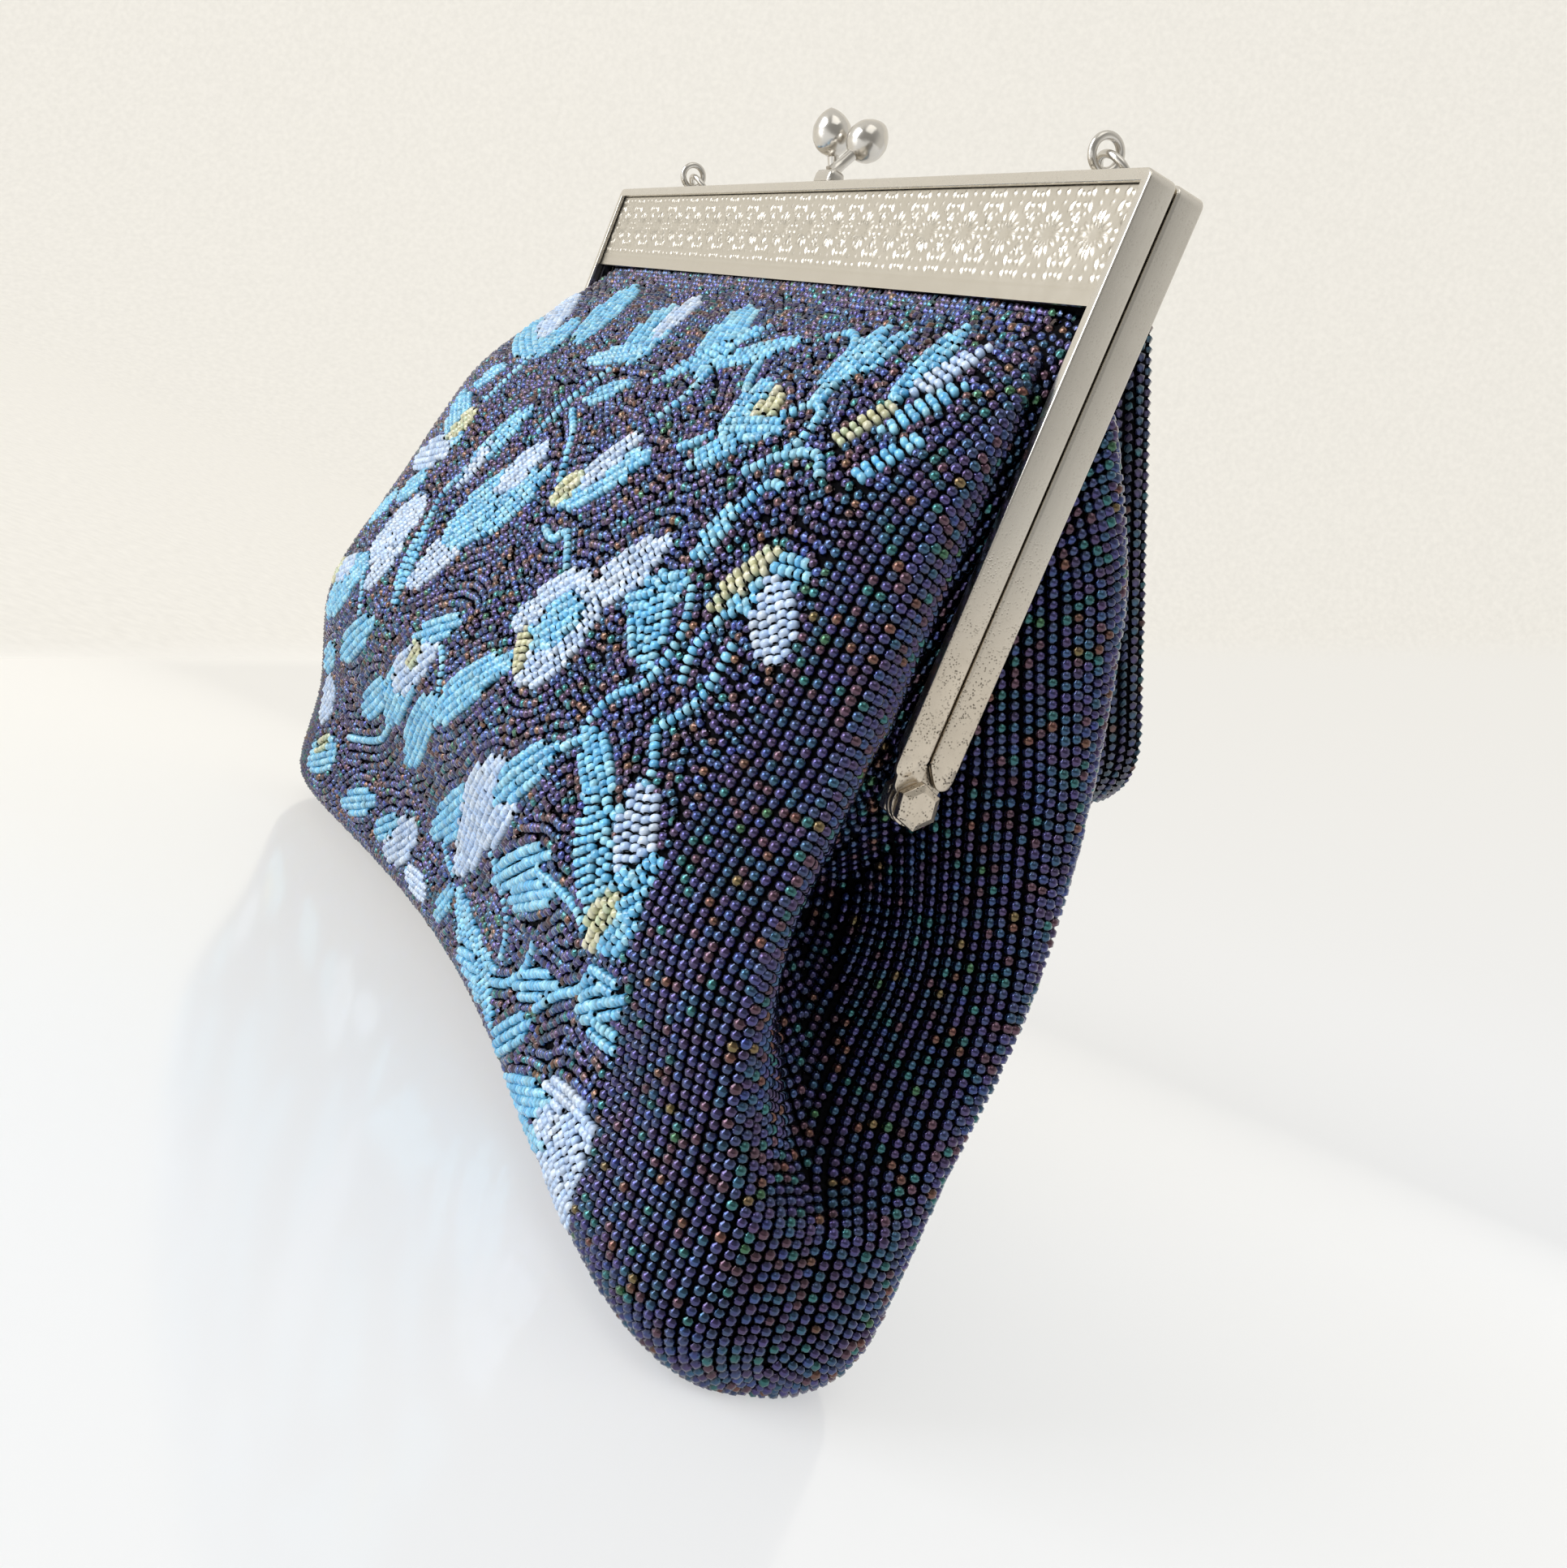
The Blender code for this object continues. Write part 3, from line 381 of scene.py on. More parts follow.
# Floral design of the face, in mm: s from the middle, t down from the hem. Each petal runs from one end to the
# other with its greatest width, and later ones lie over earlier ones. Stems are lines of beads one bead wide.
petals = (
    ("sky", 73, 21, 79, 40, 5.0), ("pearl", 82, 24, 79, 38, 4.6), ("sky", 86, 32, 81, 44, 4.2),
    ("cream", 79, 38, 76, 48, 4.0), ("sky", 57, 24, 65, 42, 6.0), ("sky", 63, 24, 67, 35, 4.0),
    ("sky", 48, 40, 55, 52, 6.0), ("cream", 53, 41, 60, 50, 5.0), ("sky", 51, 51, 65, 48, 5.0),
    ("sky", 50, 58, 59, 51, 4.5), ("sky", 63, 69, 68, 60, 4.6), ("sky", 76, 73, 82, 66, 6.0),
    ("sky", 77, 66, 87, 65, 5.0), ("cream", 72, 74, 80, 63, 4.4), ("pearl", 80, 67, 89, 76, 7.5),
    ("pearl", 40, 82, 57, 68, 8.0), ("pearl", 23, 90, 40, 78, 9.0), ("pearl", 33, 96, 46, 83, 12.0),
    ("pearl", 40, 90, 46, 79, 7.0), ("sky", 30, 91, 42, 82, 9.5), ("cream", 28, 89, 35, 96, 4.5),
    ("sky", 52, 78, 66, 72, 5.5), ("sky", 58, 73, 66, 85, 6.5), ("sky", 56, 79, 62, 84, 4.0),
    ("sky", 60, 95, 76, 104, 6.5), ("sky", 69, 101, 78, 116, 7.0), ("sky", 76, 104, 81, 118, 5.0),
    ("pearl", 78, 97, 86, 108, 8.5), ("sky", 81, 119, 90, 103, 9.0), ("sky", 84, 112, 92, 104, 5.0),
    ("cream", 77, 121, 84, 110, 5.5), ("sky", 76, 131, 90, 122, 5.5), ("sky", 79, 124, 88, 122, 3.6),
    ("sky", 80, 131, 91, 129, 4.0), ("sky", 48, 141, 69, 131, 5.0), ("pearl", 70, 147, 91, 143, 9.0),
    ("pearl", 71, 150, 95, 153, 13.0), ("pearl", 78, 145, 92, 150, 9.0), ("sky", 41, 155, 60, 141, 5.5),
    ("sky", 46, 160, 75, 145, 6.0), ("sky", 55, 161, 78, 151, 4.5), ("sky", 12, 140, 33, 151, 9.0),
    ("sky", 16, 150, 40, 143, 7.0), ("sky", 24, 141, 43, 152, 5.5), ("sky", -7, 137, 30, 117, 7.5),
    ("pearl", 27, 126, 51, 105, 10.0), ("pearl", 9, 138, 42, 107, 11.0), ("sky", 38, 115, 57, 100, 7.0),
    ("sky", 34, 130, 64, 113, 5.5), ("sky", 44, 129, 66, 118, 4.5), ("sky", -33, 124, -3, 102, 9.5),
    ("pearl", -24, 115, 1, 100, 8.5), ("cream", -14, 108, -7, 100, 5.0), ("sky", -22, 129, 6, 108, 8.0),
    ("sky", 3, 113, 31, 94, 7.5), ("sky", -14, 103, 5, 95, 5.0), ("pearl", -28, 96, -13, 79, 10.5),
    ("sky", -26, 86, 0, 68, 13.0), ("sky", -10, 82, 6, 66, 7.0), ("pearl", -13, 74, 0, 63, 7.5),
    ("sky", 16, 71, 38, 58, 6.0), ("pearl", 19, 67, 32, 56, 5.5), ("cream", 12, 71, 20, 65, 5.5),
    ("sky", 1, 54, 12, 48, 5.0), ("sky", 9, 24, 30, 43, 9.0), ("sky", 19, 47, 28, 28, 5.5),
    ("sky", 28, 40, 43, 31, 6.0), ("sky", -19, 27, 3, 44, 10.5), ("sky", -16, 45, 2, 40, 6.0),
    ("pearl", -15, 23, -2, 37, 6.5), ("sky", -54, 22, -29, 42, 10.0), ("sky", -52, 36, -38, 48, 8.0),
    ("sky", -82, 38, -42, 48, 9.0), ("pearl", -88, 27, -50, 43, 9.0), ("sky", -70, 61, -46, 69, 9.0),
    ("pearl", -74, 76, -48, 71, 8.0), ("cream", -57, 69, -46, 63, 6.5), ("pearl", -60, 96, -42, 83, 14.0),
    ("sky", -66, 84, -54, 78, 6.0), ("pearl", -52, 102, -41, 91, 7.0), ("sky", -37, 84, -30, 101, 6.0),
    ("sky", -33, 74, -18, 58, 7.0), ("pearl", -32, 77, -26, 65, 5.0), ("sky", -84, 114, -56, 97, 11.0),
    ("sky", -66, 120, -38, 106, 7.0), ("pearl", -82, 105, -66, 100, 6.0), ("sky", -90, 128, -72, 120, 6.0),
    ("sky", -52, 128, -26, 115, 6.0), ("pearl", -90, 139, -76, 129, 9.0), ("sky", -90, 150, -70, 142, 8.0),
    ("sky", -62, 151, -42, 143, 6.0), ("pearl", -34, 151, -15, 139, 9.0), ("pearl", -20, 150, -6, 148, 6.0),
    ("sky", -40, 149, -27, 142, 5.0), ("cream", -86, 146, -76, 141, 4.0), ("sky", -80, 92, -68, 84, 6.0),
    ("sky", -62, 58, -50, 52, 5.0), ("sky", 0, 150, 10, 141, 4.5), ("cream", -88, 108, -80, 101, 4.5),
    ("sky", 84, 52, 88, 42, 3.4),
)
stems = (
    ((61, 46), (65, 42.5), (68.5, 44), (70, 49), (67, 53), (64, 56)), ((64, 56), (69, 52), (75, 50), (79, 53)),
    ((68, 60), (71, 56), (74, 56)), ((66, 72), (69, 78), (67, 86), (62, 90), (60, 95)),
    ((76, 73), (73, 79), (74, 84)), ((15, 75), (20, 76), (24, 74), (28, 77), (31, 80)),
    ((-1, 56), (6, 60), (12, 68)), ((33, 124), (38, 128), (42, 133), (41, 140)),
    ((38, 127), (48, 122), (60, 118), (72, 117), (77, 119)), ((60, 139), (68, 133), (76, 128), (81, 122)),
    ((31, 147), (43, 143), (52, 137), (57, 130)), ((57, 100), (62, 96)), ((76, 103), (79, 96), (74, 90)),
    ((80, 76), (79, 84), (75, 90)), ((40, 37), (45, 42), (50, 45)), ((-2, 46), (-4, 53), (-9, 62)),
    ((-30, 124), (-40, 130), (-52, 134), (-64, 137)), ((-44, 46), (-42, 53), (-46, 60)),
    ((6, 109), (4, 103), (-4, 98)), ((-33, 74), (-38, 79), (-37, 84)), ((30, 41), (33, 47), (31, 54)),
    ((9, 139), (4, 137), (-2, 132)), ((44, 56), (48, 54), (51, 52)), ((57, 30), (52, 27), (47, 29)),
    ((-58, 99), (-52, 104), (-48, 110)),
)
# Beads and the lines they are laid on, in metres: a bead's size on the strings and on the face, the pitches
# between rows and along them, where the face ends beside and above, how beads stand proud, and how loosely they
# are sewn. Beads nearer than "closest" would sit in one another, and a spot farther than "bare" gets one more.
beadSizes = {
    "width": 0.00181, "length": 0.00124, "rowPitch": 0.00162, "stringGap": 0.00178, "stringPitch": 0.00138,
    "facePitch": 0.00136, "faceWidth": 0.00176, "faceLength": 0.00112, "faceEnd": 0.0892, "hemT": 0.0138,
    "petalRise": 0.0003, "hemRise": 0.0009, "hemRows": 0.0105, "hemFade": 0.004, "groundLoose": 0.00013,
    "petalLoose": 0.00005, "closest": 0.00108, "bare": 0.00119, "fillGap": 0.0013, "contours": 12,
    "wave": (0.012, 0.00016), "waveFade": 0.002, "wobble": (0.00012, 23.0, 1.7), "stringEnd": 0.15,
    "unevenDepth": (-0.00005, 0.00012), "tilt": 0.05, "tiltPerLoose": 900, "unevenSize": (0.93, 1.05),
    # Last entry below: how far dark and pale beads are darkened round their thread holes, painted shade where
    # beads meet
    "unevenLength": (0.86, 1.08), "unevenShade": (0.82, 1.18), "paintedHoleShade": {"dark": 0.3, "pale": 0.48},
    "mostTriangles": 190000,
}


def petalOutline(start, end, width, sharpness=0.62):
    # Both sides of a petal: half the width times a power of a half sine along its length
    u = np.concatenate([np.linspace(0, 1, 25), np.linspace(1, 0, 25)[1:-1]])
    sign = np.concatenate([np.ones(25), -np.ones(23)])
    run = end - start
    across = np.array([-run[1], run[0]]) / np.linalg.norm(run)
    half = width / 2 * np.sin(np.pi * np.clip(u, 0, 1)) ** sharpness
    return start + u[:, None] * run + (sign * half)[:, None] * across


def petalRows(start, end, width, sharpness=0.62, bow=0.28):
    # Rows of beads along a petal, side by side and bowed, each as long as the petal is that far from its middle
    count = max(int(round(width / (beadSizes["rowPitch"] * 1000))), 1)
    run = end - start
    across = np.array([-run[1], run[0]]) / np.linalg.norm(run)
    rows = []
    for k in range(count):
        place = (k - (count - 1) / 2) * width / count
        reach = math.asin(min((max(abs(place) - width * 0.08, 0) * 2 / width) ** (1 / sharpness), 1)) / math.pi
        u = np.linspace(reach, 1 - reach, 24)
        out = place * (1 - bow + bow * np.sin(np.pi * u) ** 0.7)
        rows.append(start + u[:, None] * run + out[:, None] * across)
    return rows


def smoothLine(points, steps=8):
    # Catmull-Rom curve through the points
    p = np.asarray(points, float)
    p = np.concatenate([[2 * p[0] - p[1]], p, [2 * p[-1] - p[-2]]])
    t = np.linspace(0, 1, steps, endpoint=False)[None, :, None]
    a, b, c, d = (p[k:len(p) - 3 + k, None] for k in range(4))
    curve = 0.5 * (2 * b + (c - a) * t + (2 * a - 5 * b + 4 * c - d) * t**2 + (3 * b - a - 3 * c + d) * t**3)
    return np.concatenate([curve.reshape(-1, 2), p[-2:-1]])


def inside(outline, s, t):
    # Even-odd rule: how many of the outline's edges a ray along s crosses
    (a, b), (c, d) = outline.T, np.roll(outline, -1, 0).T
    crosses = (b[:, None] > t) != (d[:, None] > t)
    where = (c - a)[:, None] * (t - b[:, None]) / (d - b + 1e-12)[:, None] + a[:, None]
    return (crosses & (s < where)).sum(0) % 2 == 1

def contourLines(values):
    # Marching squares: the zero line crosses some of each cell's edges, and the crossings are chained
    above = values > 0
    size = values.size
    index = np.arange(size).reshape(values.shape)
    across, down = above[:, :-1] != above[:, 1:], above[:-1] != above[1:]
    crossed = np.stack([across[:-1], down[:, 1:], across[1:], down[:, :-1]], -1)
    names = np.stack([index[:-1, :-1], size + index[:-1, 1:], index[1:, :-1], size + index[:-1, :-1]], -1)
    count = crossed.sum(-1)
    once, twice = names[count == 2][crossed[count == 2]], names[count == 4]
    pairs = np.concatenate([once.reshape(-1, 2), twice.reshape(-1, 2)])
    linked = {}
    for a, b in pairs.tolist():
        linked.setdefault(a, []).append(b)
        linked.setdefault(b, []).append(a)
    flat = values.ravel()
    wide = values.shape[1]
    lines, used = [], set()
    for start in sorted(linked, key=lambda name: len(linked[name])):
        if start in used:
            continue
        chain = [start]
        used.add(start)
        while True:
            onward = [name for name in linked[chain[-1]] if name not in used]
            if not onward:
                break
            chain.append(onward[0])
            used.add(onward[0])
        if len(chain) < 4:
            continue
        if chain[0] in linked[chain[-1]]:
            chain.append(chain[0])
        chain = np.array(chain)
        upright = chain >= size
        first = np.where(upright, chain - size, chain)
        second = first + np.where(upright, wide, 1)
        part = flat[first] / (flat[first] - flat[second])
        row, column = first // wide + np.where(upright, part, 0), first % wide + np.where(upright, 0, part)
        lines.append(np.stack([row, column], 1))
    return lines



def beadsAlong(face, line, pitch):
    # Beads threaded on a line of grid places, evenly by its length on the face: their places and directions
    on = sampleGrid(face["points"], line)
    run = lengthsAlong(on)
    count = int(round(run[-1] / pitch))
    if count < 1:
        return np.zeros((0, 2)), np.zeros((0, 3))
    at = (np.arange(count) + 0.5) * run[-1] / count
    before, after = (readAlong(np.clip(at + d, 0, run[-1]), run, on) for d in (-pitch / 2, pitch / 2))
    return readAlong(at, run, line), after - before


def waves(face, size, height, count=9):
    # A gentle random unevenness: the mean of sines in several directions
    s, t = np.meshgrid(face["s"], face["t"])
    total = np.zeros_like(s)
    for _ in range(count):
        turn, phase, length = rng.uniform(0, np.pi), rng.uniform(0, 2 * np.pi), size * rng.uniform(0.6, 1.7)
        total += np.sin(2 * np.pi * (s * math.cos(turn) + t * math.sin(turn)) / length + phase)
    return total * height / math.sqrt(count)


def kdTree(points):
    tree = kdtree.KDTree(len(points))
    for k, point in enumerate(points):
        tree.insert(point, k)
    tree.balance()
    return tree


def nearestTo(tree, points):
    # How far each point of a grid is from the nearest in the tree
    return np.array([tree.find(point)[2] for point in points.reshape(-1, 3)]).reshape(points.shape[:2])


def onGrid(line):
    # Places in mm along s and t as fractional (row, column) of the face's grid
    return np.column_stack([line[:, 1], line[:, 0] + mapping["half"] * 1000]) / (mapping["step"] * 1000)


def readOwner(owner, places):
    # Whose the nearest cell of the grid is
    near = np.round(places).astype(int)
    return owner[np.clip(near[:, 0], 0, owner.shape[0] - 1), np.clip(near[:, 1], 0, owner.shape[1] - 1)]


def layMotifs(side):
    # The stems and the petals over them: their outlines and rows of beads, in mm, and their kinds
    mirror = np.array([-side, 1])
    outlines, rows, kinds = [], [], []
    for stem in stems:
        line = smoothLine(np.array(stem) * mirror)
        run = np.gradient(line, axis=0)
        across = np.stack([-run[:, 1], run[:, 0]], 1) / np.linalg.norm(run, axis=1, keepdims=True)
        half = beadSizes["rowPitch"] * 1000 / 2
        outlines.append(np.concatenate([line + across * half, (line - across * half)[::-1]]))
        rows.append([line])
        kinds.append("sky")
    for kind, s0, t0, s1, t1, width in petals:
        ends = np.array([s0, t0], float) * mirror, np.array([s1, t1], float) * mirror
        outlines.append(petalOutline(*ends, width))
        rows.append(petalRows(*ends, width))
        kinds.append(kind)
    return outlines, rows, kinds


def layDesign(side):
    # Petals have rows along their length. The ground's rows echo round them: each is a line at whole pitches,
    # less a half, from the nearest petal, stem or border, as the needleworker lays them.
    face = faces[side]
    size = beadSizes
    along, down = face["s"] * 1000, face["t"] * 1000
    s, t = np.meshgrid(along, down)
    owner = np.zeros(s.shape, int)
    outlines, rows, kinds = layMotifs(side)
    for number, outline in enumerate(outlines, 1):
        low, high = outline.min(0) - 1, outline.max(0) + 1
        box = tuple(slice(*np.searchsorted(line, (low[k], high[k]))) for k, line in ((1, down), (0, along)))
        owner[box][inside(outline, s[box].ravel(), t[box].ravel()).reshape(s[box].shape)] = number
    # Only the edges that no later petal covers count, and the face's own borders
    edges = []
    for number, outline in enumerate(outlines, 1):
        dense = np.concatenate([outline + (np.roll(outline, -1, 0) - outline) * k / 4 for k in range(4)])
        edges.append(dense[readOwner(owner, onGrid(dense)) <= number])
    end, hem, bottom = size["faceEnd"] * 1000, size["hemT"] * 1000, down[-1]
    upright, level = np.arange(hem, bottom, 0.5), np.arange(-end, end, 0.5)
    edges += [np.column_stack([np.full(len(upright), x), upright]) for x in (-end, end)]
    edges += [np.column_stack([level, np.full(len(level), y)]) for y in (hem, bottom)]
    i0 = np.searchsorted(face["t"], size["hemT"])
    j0, j1 = np.searchsorted(face["s"], (-size["faceEnd"], size["faceEnd"]))
    region = face["points"][i0:, j0:j1]
    distance = nearestTo(kdTree(sampleGrid(face["points"], onGrid(np.concatenate(edges)))), region)
    distance += waves(face, *size["wave"])[i0:, j0:j1] * np.clip(distance / size["waveFade"], 0, 1)

    laid = []
    for number, lines in enumerate(rows, 1):
        for line in lines:
            at, run = beadsAlong(face, onGrid(line), size["facePitch"])
            row, column = at.T
            mine = readOwner(owner, at) == number
            mine &= (row >= i0) & (row < len(face["t"]) - 2) & (column > j0) & (column < j1)
            laid.append((at[mine], run[mine], np.full(mine.sum(), number)))
    for k in range(size["contours"]):
        for line in contourLines(distance - size["rowPitch"] * (k + 0.5)):
            at, run = beadsAlong(face, line + (i0, j0), size["facePitch"])
            mine = readOwner(owner, at) == 0
            laid.append((at[mine], run[mine], np.zeros(mine.sum(), int)))
    at, run, numbers = (np.concatenate(values) for values in zip(*laid))
    # Beads that would sit in one another are left out, then the bare spots are filled, the barest first
    centers = sampleGrid(face["points"], at)
    tree = kdTree(centers)
    kept = np.ones(len(centers), bool)
    for k, point in enumerate(centers):
        if kept[k]:
            for _, other, _ in tree.find_range(point, size["closest"]):
                if other > k:
                    kept[other] = False
    at, run, numbers, centers = at[kept], run[kept], numbers[kept], centers[kept]
    slope = np.stack(np.gradient(distance), -1)
    for _ in range(2):
        bare = nearestTo(kdTree(centers), region)
        i, j = np.nonzero(bare > size["bare"])
        order = np.argsort(-bare[i, j])
        filled = []
        for i, j in zip(i[order], j[order]):
            if all(np.sum((region[i, j] - region[other]) ** 2) > size["fillGap"] ** 2 for other in filled):
                filled.append((i, j))
        if not filled:
            break
        extra = np.array(filled)
        i, j = extra.T
        steps = [np.gradient(region, axis=axis)[i, j] for axis in (0, 1)]
        at = np.concatenate([at, extra + (i0, j0)])
        run = np.concatenate([run, steps[0] * -slope[i, j, 1:] + steps[1] * slope[i, j, :1] + (0, 0, 1e-9)])
        numbers = np.concatenate([numbers, readOwner(owner, extra + (i0, j0))])
        centers = np.concatenate([centers, region[i, j]])
    return at, run, np.array(["ground"] + kinds)[numbers]


def layStrings(side, hand):
    # Straight strings beside the face: each keeps its distance along the level from the middle
    face = faces[side]
    size = beadSizes
    laid = []
    ends = np.abs(face["ends"][:, 0 if hand < 0 else 1])
    sway, wave, phase = size["wobble"]
    number = 0
    while True:
        s = size["faceEnd"] + size["stringGap"] * (number + 0.5)
        number += 1
        there = (ends > s - size["stringGap"] * size["stringEnd"]) & (face["t"] > size["hemT"])
        if not there.any():
            break
        starts = np.nonzero(np.diff(np.concatenate([[0], there.astype(int), [0]])))[0].reshape(-1, 2)
        for first, last in starts:
            rows = np.arange(first, last)
            if len(rows) < 4:
                continue
            wobble = sway * np.sin(rows / wave + number * phase)
            columns = (hand * (s + wobble) + mapping["half"]) / mapping["step"]
            laid.append(beadsAlong(face, np.column_stack([rows, columns]), size["stringPitch"]))
    return [np.concatenate(values) for values in zip(*laid)]


# Bead colours, from the heaps of each kind: a colour and its share
beadColors = {
    "iris": (("#303D6B", 24), ("#38346D", 22), ("#3F305D", 14), ("#1F4B6C", 13), ("#273F78", 8), ("#533547", 7),
             ("#1F6266", 6), ("#653F34", 2.5), ("#326241", 1), ("#6B5932", 0.7)),
    "faceIris": (("#324779", 20), ("#433B73", 22), ("#4F3A5A", 15), ("#2A5B7D", 13), ("#3B5197", 11),
                 ("#614242", 7), ("#2A7479", 5), ("#75523E", 2.5), ("#3C6E56", 1)),
    "sky": (("#84D6FA", 5), ("#6CC8F6", 4), ("#A0E4FC", 3), ("#58B6EA", 1.2)),
    "pearl": (("#CEE3FF", 5), ("#BEDAFF", 4), ("#DEEDFF", 3)),
    "cream": (("#DAD8AC", 5), ("#C8D4AE", 3), ("#E4E0BE", 3)),
    "strap": (("#34406A", 5), ("#2C5068", 4), ("#443C66", 4), ("#386A78", 1.5), ("#6A4C4C", 0.6)),
}
# A bead's outline from end to end as shares of its half length and its radius: rounded, or plainer far away
beadProfiles = {True: ((-1, 0.46), (-0.56, 0.92), (0.56, 0.92), (1, 0.46)),
                False: ((-1, 0.55), (0, 1.06), (1, 0.55))}


def pickColors(name, count):
    codes, shares = zip(*beadColors[name])
    table = np.array([linear(code) for code in codes])
    chosen = table[rng.choice(len(codes), size=count, p=np.array(shares) / sum(shares))]
    return chosen * rng.uniform(*beadSizes["unevenShade"], (count, 1))


def beadMesh(name, centers, runs, normals, colors, material, sides, rounded, width, length, paintedHoleShade="dark"):
    # Barrels on their thread: rings across the run, narrower at both ends, a little uneven in size
    count = len(centers)
    runs = unit(runs)
    normals = unit(normals - runs * np.sum(normals * runs, 1, keepdims=True))
    profile = beadProfiles[rounded]
    turn = np.arange(sides) * 2 * np.pi / sides
    shape = np.array([(along, out * math.cos(a), out * math.sin(a)) for along, out in profile for a in turn])
    size = rng.uniform(*beadSizes["unevenSize"], (count, 1, 1))
    half = length / 2 * rng.uniform(*beadSizes["unevenLength"], (count, 1, 1))
    along, up, across = (shape[None, :, k:k + 1] for k in range(3))
    points = centers[:, None] + size * (
        runs[:, None] * along * half + normals[:, None] * up * (width / 2)
        + np.cross(runs, normals)[:, None] * across * (width / 2)
    )
    quads = np.array(gridFaces(len(profile), sides, closed=True))[:, ::-1]
    caps = np.array([np.arange(sides), (len(profile) - 1) * sides + np.arange(sides)[::-1]])
    loops = np.concatenate([quads.ravel(), caps.ravel()])
    starts = np.concatenate([np.arange(len(quads)) * 4, len(quads) * 4 + np.arange(2) * sides])
    bead = np.arange(count)[:, None]
    data = bpy.data.meshes.new(name)
    for group, each, key, values in (
        (data.vertices, len(shape), "co", points.astype(np.float32)),
        (data.loops, len(loops), "vertex_index", (loops[None] + bead * len(shape)).astype(np.int32)),
        (data.polygons, len(starts), "loop_start", (starts[None] + bead * len(loops)).astype(np.int32)),
    ):
        group.add(count * each)
        group.foreach_set(key, values.ravel())
    data.polygons.foreach_set("use_smooth", np.ones(count * len(starts), bool))
    data.update(calc_edges=True)
    # The rings round the thread holes are darkened: painted shade where neighbouring beads meet
    shade = beadSizes["paintedHoleShade"][paintedHoleShade]
    hole = np.repeat([shade if abs(along) == 1 else 1.0 for along, _ in profile], sides)
    shades = np.ones((count, len(shape), 4), np.float32)
    shades[..., :3] = colors[:, None] * hole[:, None]
    data.attributes.new("beadColor", "FLOAT_COLOR", "POINT").data.foreach_set("color", shades.ravel())
    data.materials.append(material)
    return addObject(name, data), len(shape)


def openWith(piece, centers=None):
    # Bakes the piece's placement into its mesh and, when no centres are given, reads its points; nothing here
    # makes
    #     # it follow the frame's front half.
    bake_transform(piece)
    if centers is None:
        centers = np.empty(len(piece.data.vertices) * 3, np.float32)
        piece.data.vertices.foreach_get("co", centers)
        centers = centers.reshape(-1, 3)


def beadGlass(name, surface, grain, varied, saturation=1.0):
    # Each bead's own colour, with one side of it shifted a little by a fine cloudiness
    made, tree, shader, place = newMaterial(name, {**surface, "Coat Roughness": 0.05})
    film = addNode(tree, "TexNoise", {"Vector": place, "Scale": grain, "Detail": 1.0})
    key, low, high = varied
    shift = addNode(tree, "MapRange", {
        "Value": film, "From Min": 0.3, "From Max": 0.7, "To Min": low, "To Max": high})
    own = addNode(tree, "Attribute", {"attribute_name": "beadColor"})
    feed(tree, shader, {"Base Color": addNode(tree, "HueSaturation", {
        "Color": own, "Saturation": saturation, key: shift})})
    return made


def patterned(tree, shader, pattern, dark, light, distance, strength=1.0):
    # Colour and relief that both follow a pattern; the colour is darker where the relief is low,
    #     # which is painted shade in its hollows
    feed(tree, shader, {
        "Base Color": addNode(tree, "Mix", {"data_type": "RGBA", "Factor": pattern, "A": dark, "B": light}),
        "Normal": addNode(tree, "Bump", {"Height": pattern, "Distance": distance, "Strength": strength}),
    })


# Glass seed beads with an iris finish: dark glass fired with a metal film, so they mirror light in blue, violet
# and teal. The flowers' opaque lustre beads are pressed soft-coloured glass with a clear glossy skin.
irisGlass = beadGlass("iris coated glass seed beads", {
    "Metallic": 1.0, "Roughness": 0.25, "Coat Weight": 0.8}, 900.0, ("Hue", 0.48, 0.52), 0.95)
lustreGlass = beadGlass("lustred opaque glass seed beads", {
    "Metallic": 0.0, "Roughness": 0.28, "Coat Weight": 1.0}, 700.0, ("Value", 0.85, 1.12))

# Black cotton ground cloth: plain weave, 0.45 mm threads, dull, with painted shade between the threads
groundCloth, tree, shader, place = newMaterial("black cotton ground cloth", {
    "Roughness": 0.95, "Specular IOR Level": 0.1})
warp, weft = (
    addNode(tree, "TexWave", {"bands_direction": axis, "Vector": place, "Scale": 350.0}).outputs["Fac"]
    for axis in ("X", "Z")
)
patterned(tree, shader, addNode(tree, "Math", {"operation": "MULTIPLY", 0: warp, 1: weft}),
          "#040407", "#0C0B12", 0.0001, 0.6)

# Rayon satin of the lining: long floats give a soft streaky shine, partly from its sheen and partly painted
# # as lighter streaks on the raised floats, with painted shade between them
satin, tree, shader, place = newMaterial("navy rayon satin", {
    "Roughness": 0.42, "Sheen Weight": 0.3, "Anisotropic": 0.4})
floats = addNode(tree, "Mapping", {"Vector": place, "Scale": (2500.0, 2500.0, 200.0)})
patterned(tree, shader, addNode(tree, "TexNoise", {"Vector": floats, "Scale": 1.0, "Detail": 3.0}),
          "#10142C", "#262C50", 0.00005, 0.5)

# Twisted paper cord pressed into the frame's channel: dark kraft paper, ridged by its twist of 1.2 mm,
# # with painted shade in the grooves
paperCord, tree, shader, place = newMaterial("twisted dark paper cord", {"Roughness": 0.95})
twist = addNode(tree, "TexWave", {
    "bands_direction": "DIAGONAL", "Vector": place, "Scale": 260.0, "Distortion": 1.0})
patterned(tree, shader, twist.outputs["Fac"], "#0C0B14", "#1E1C28", 0.00015)


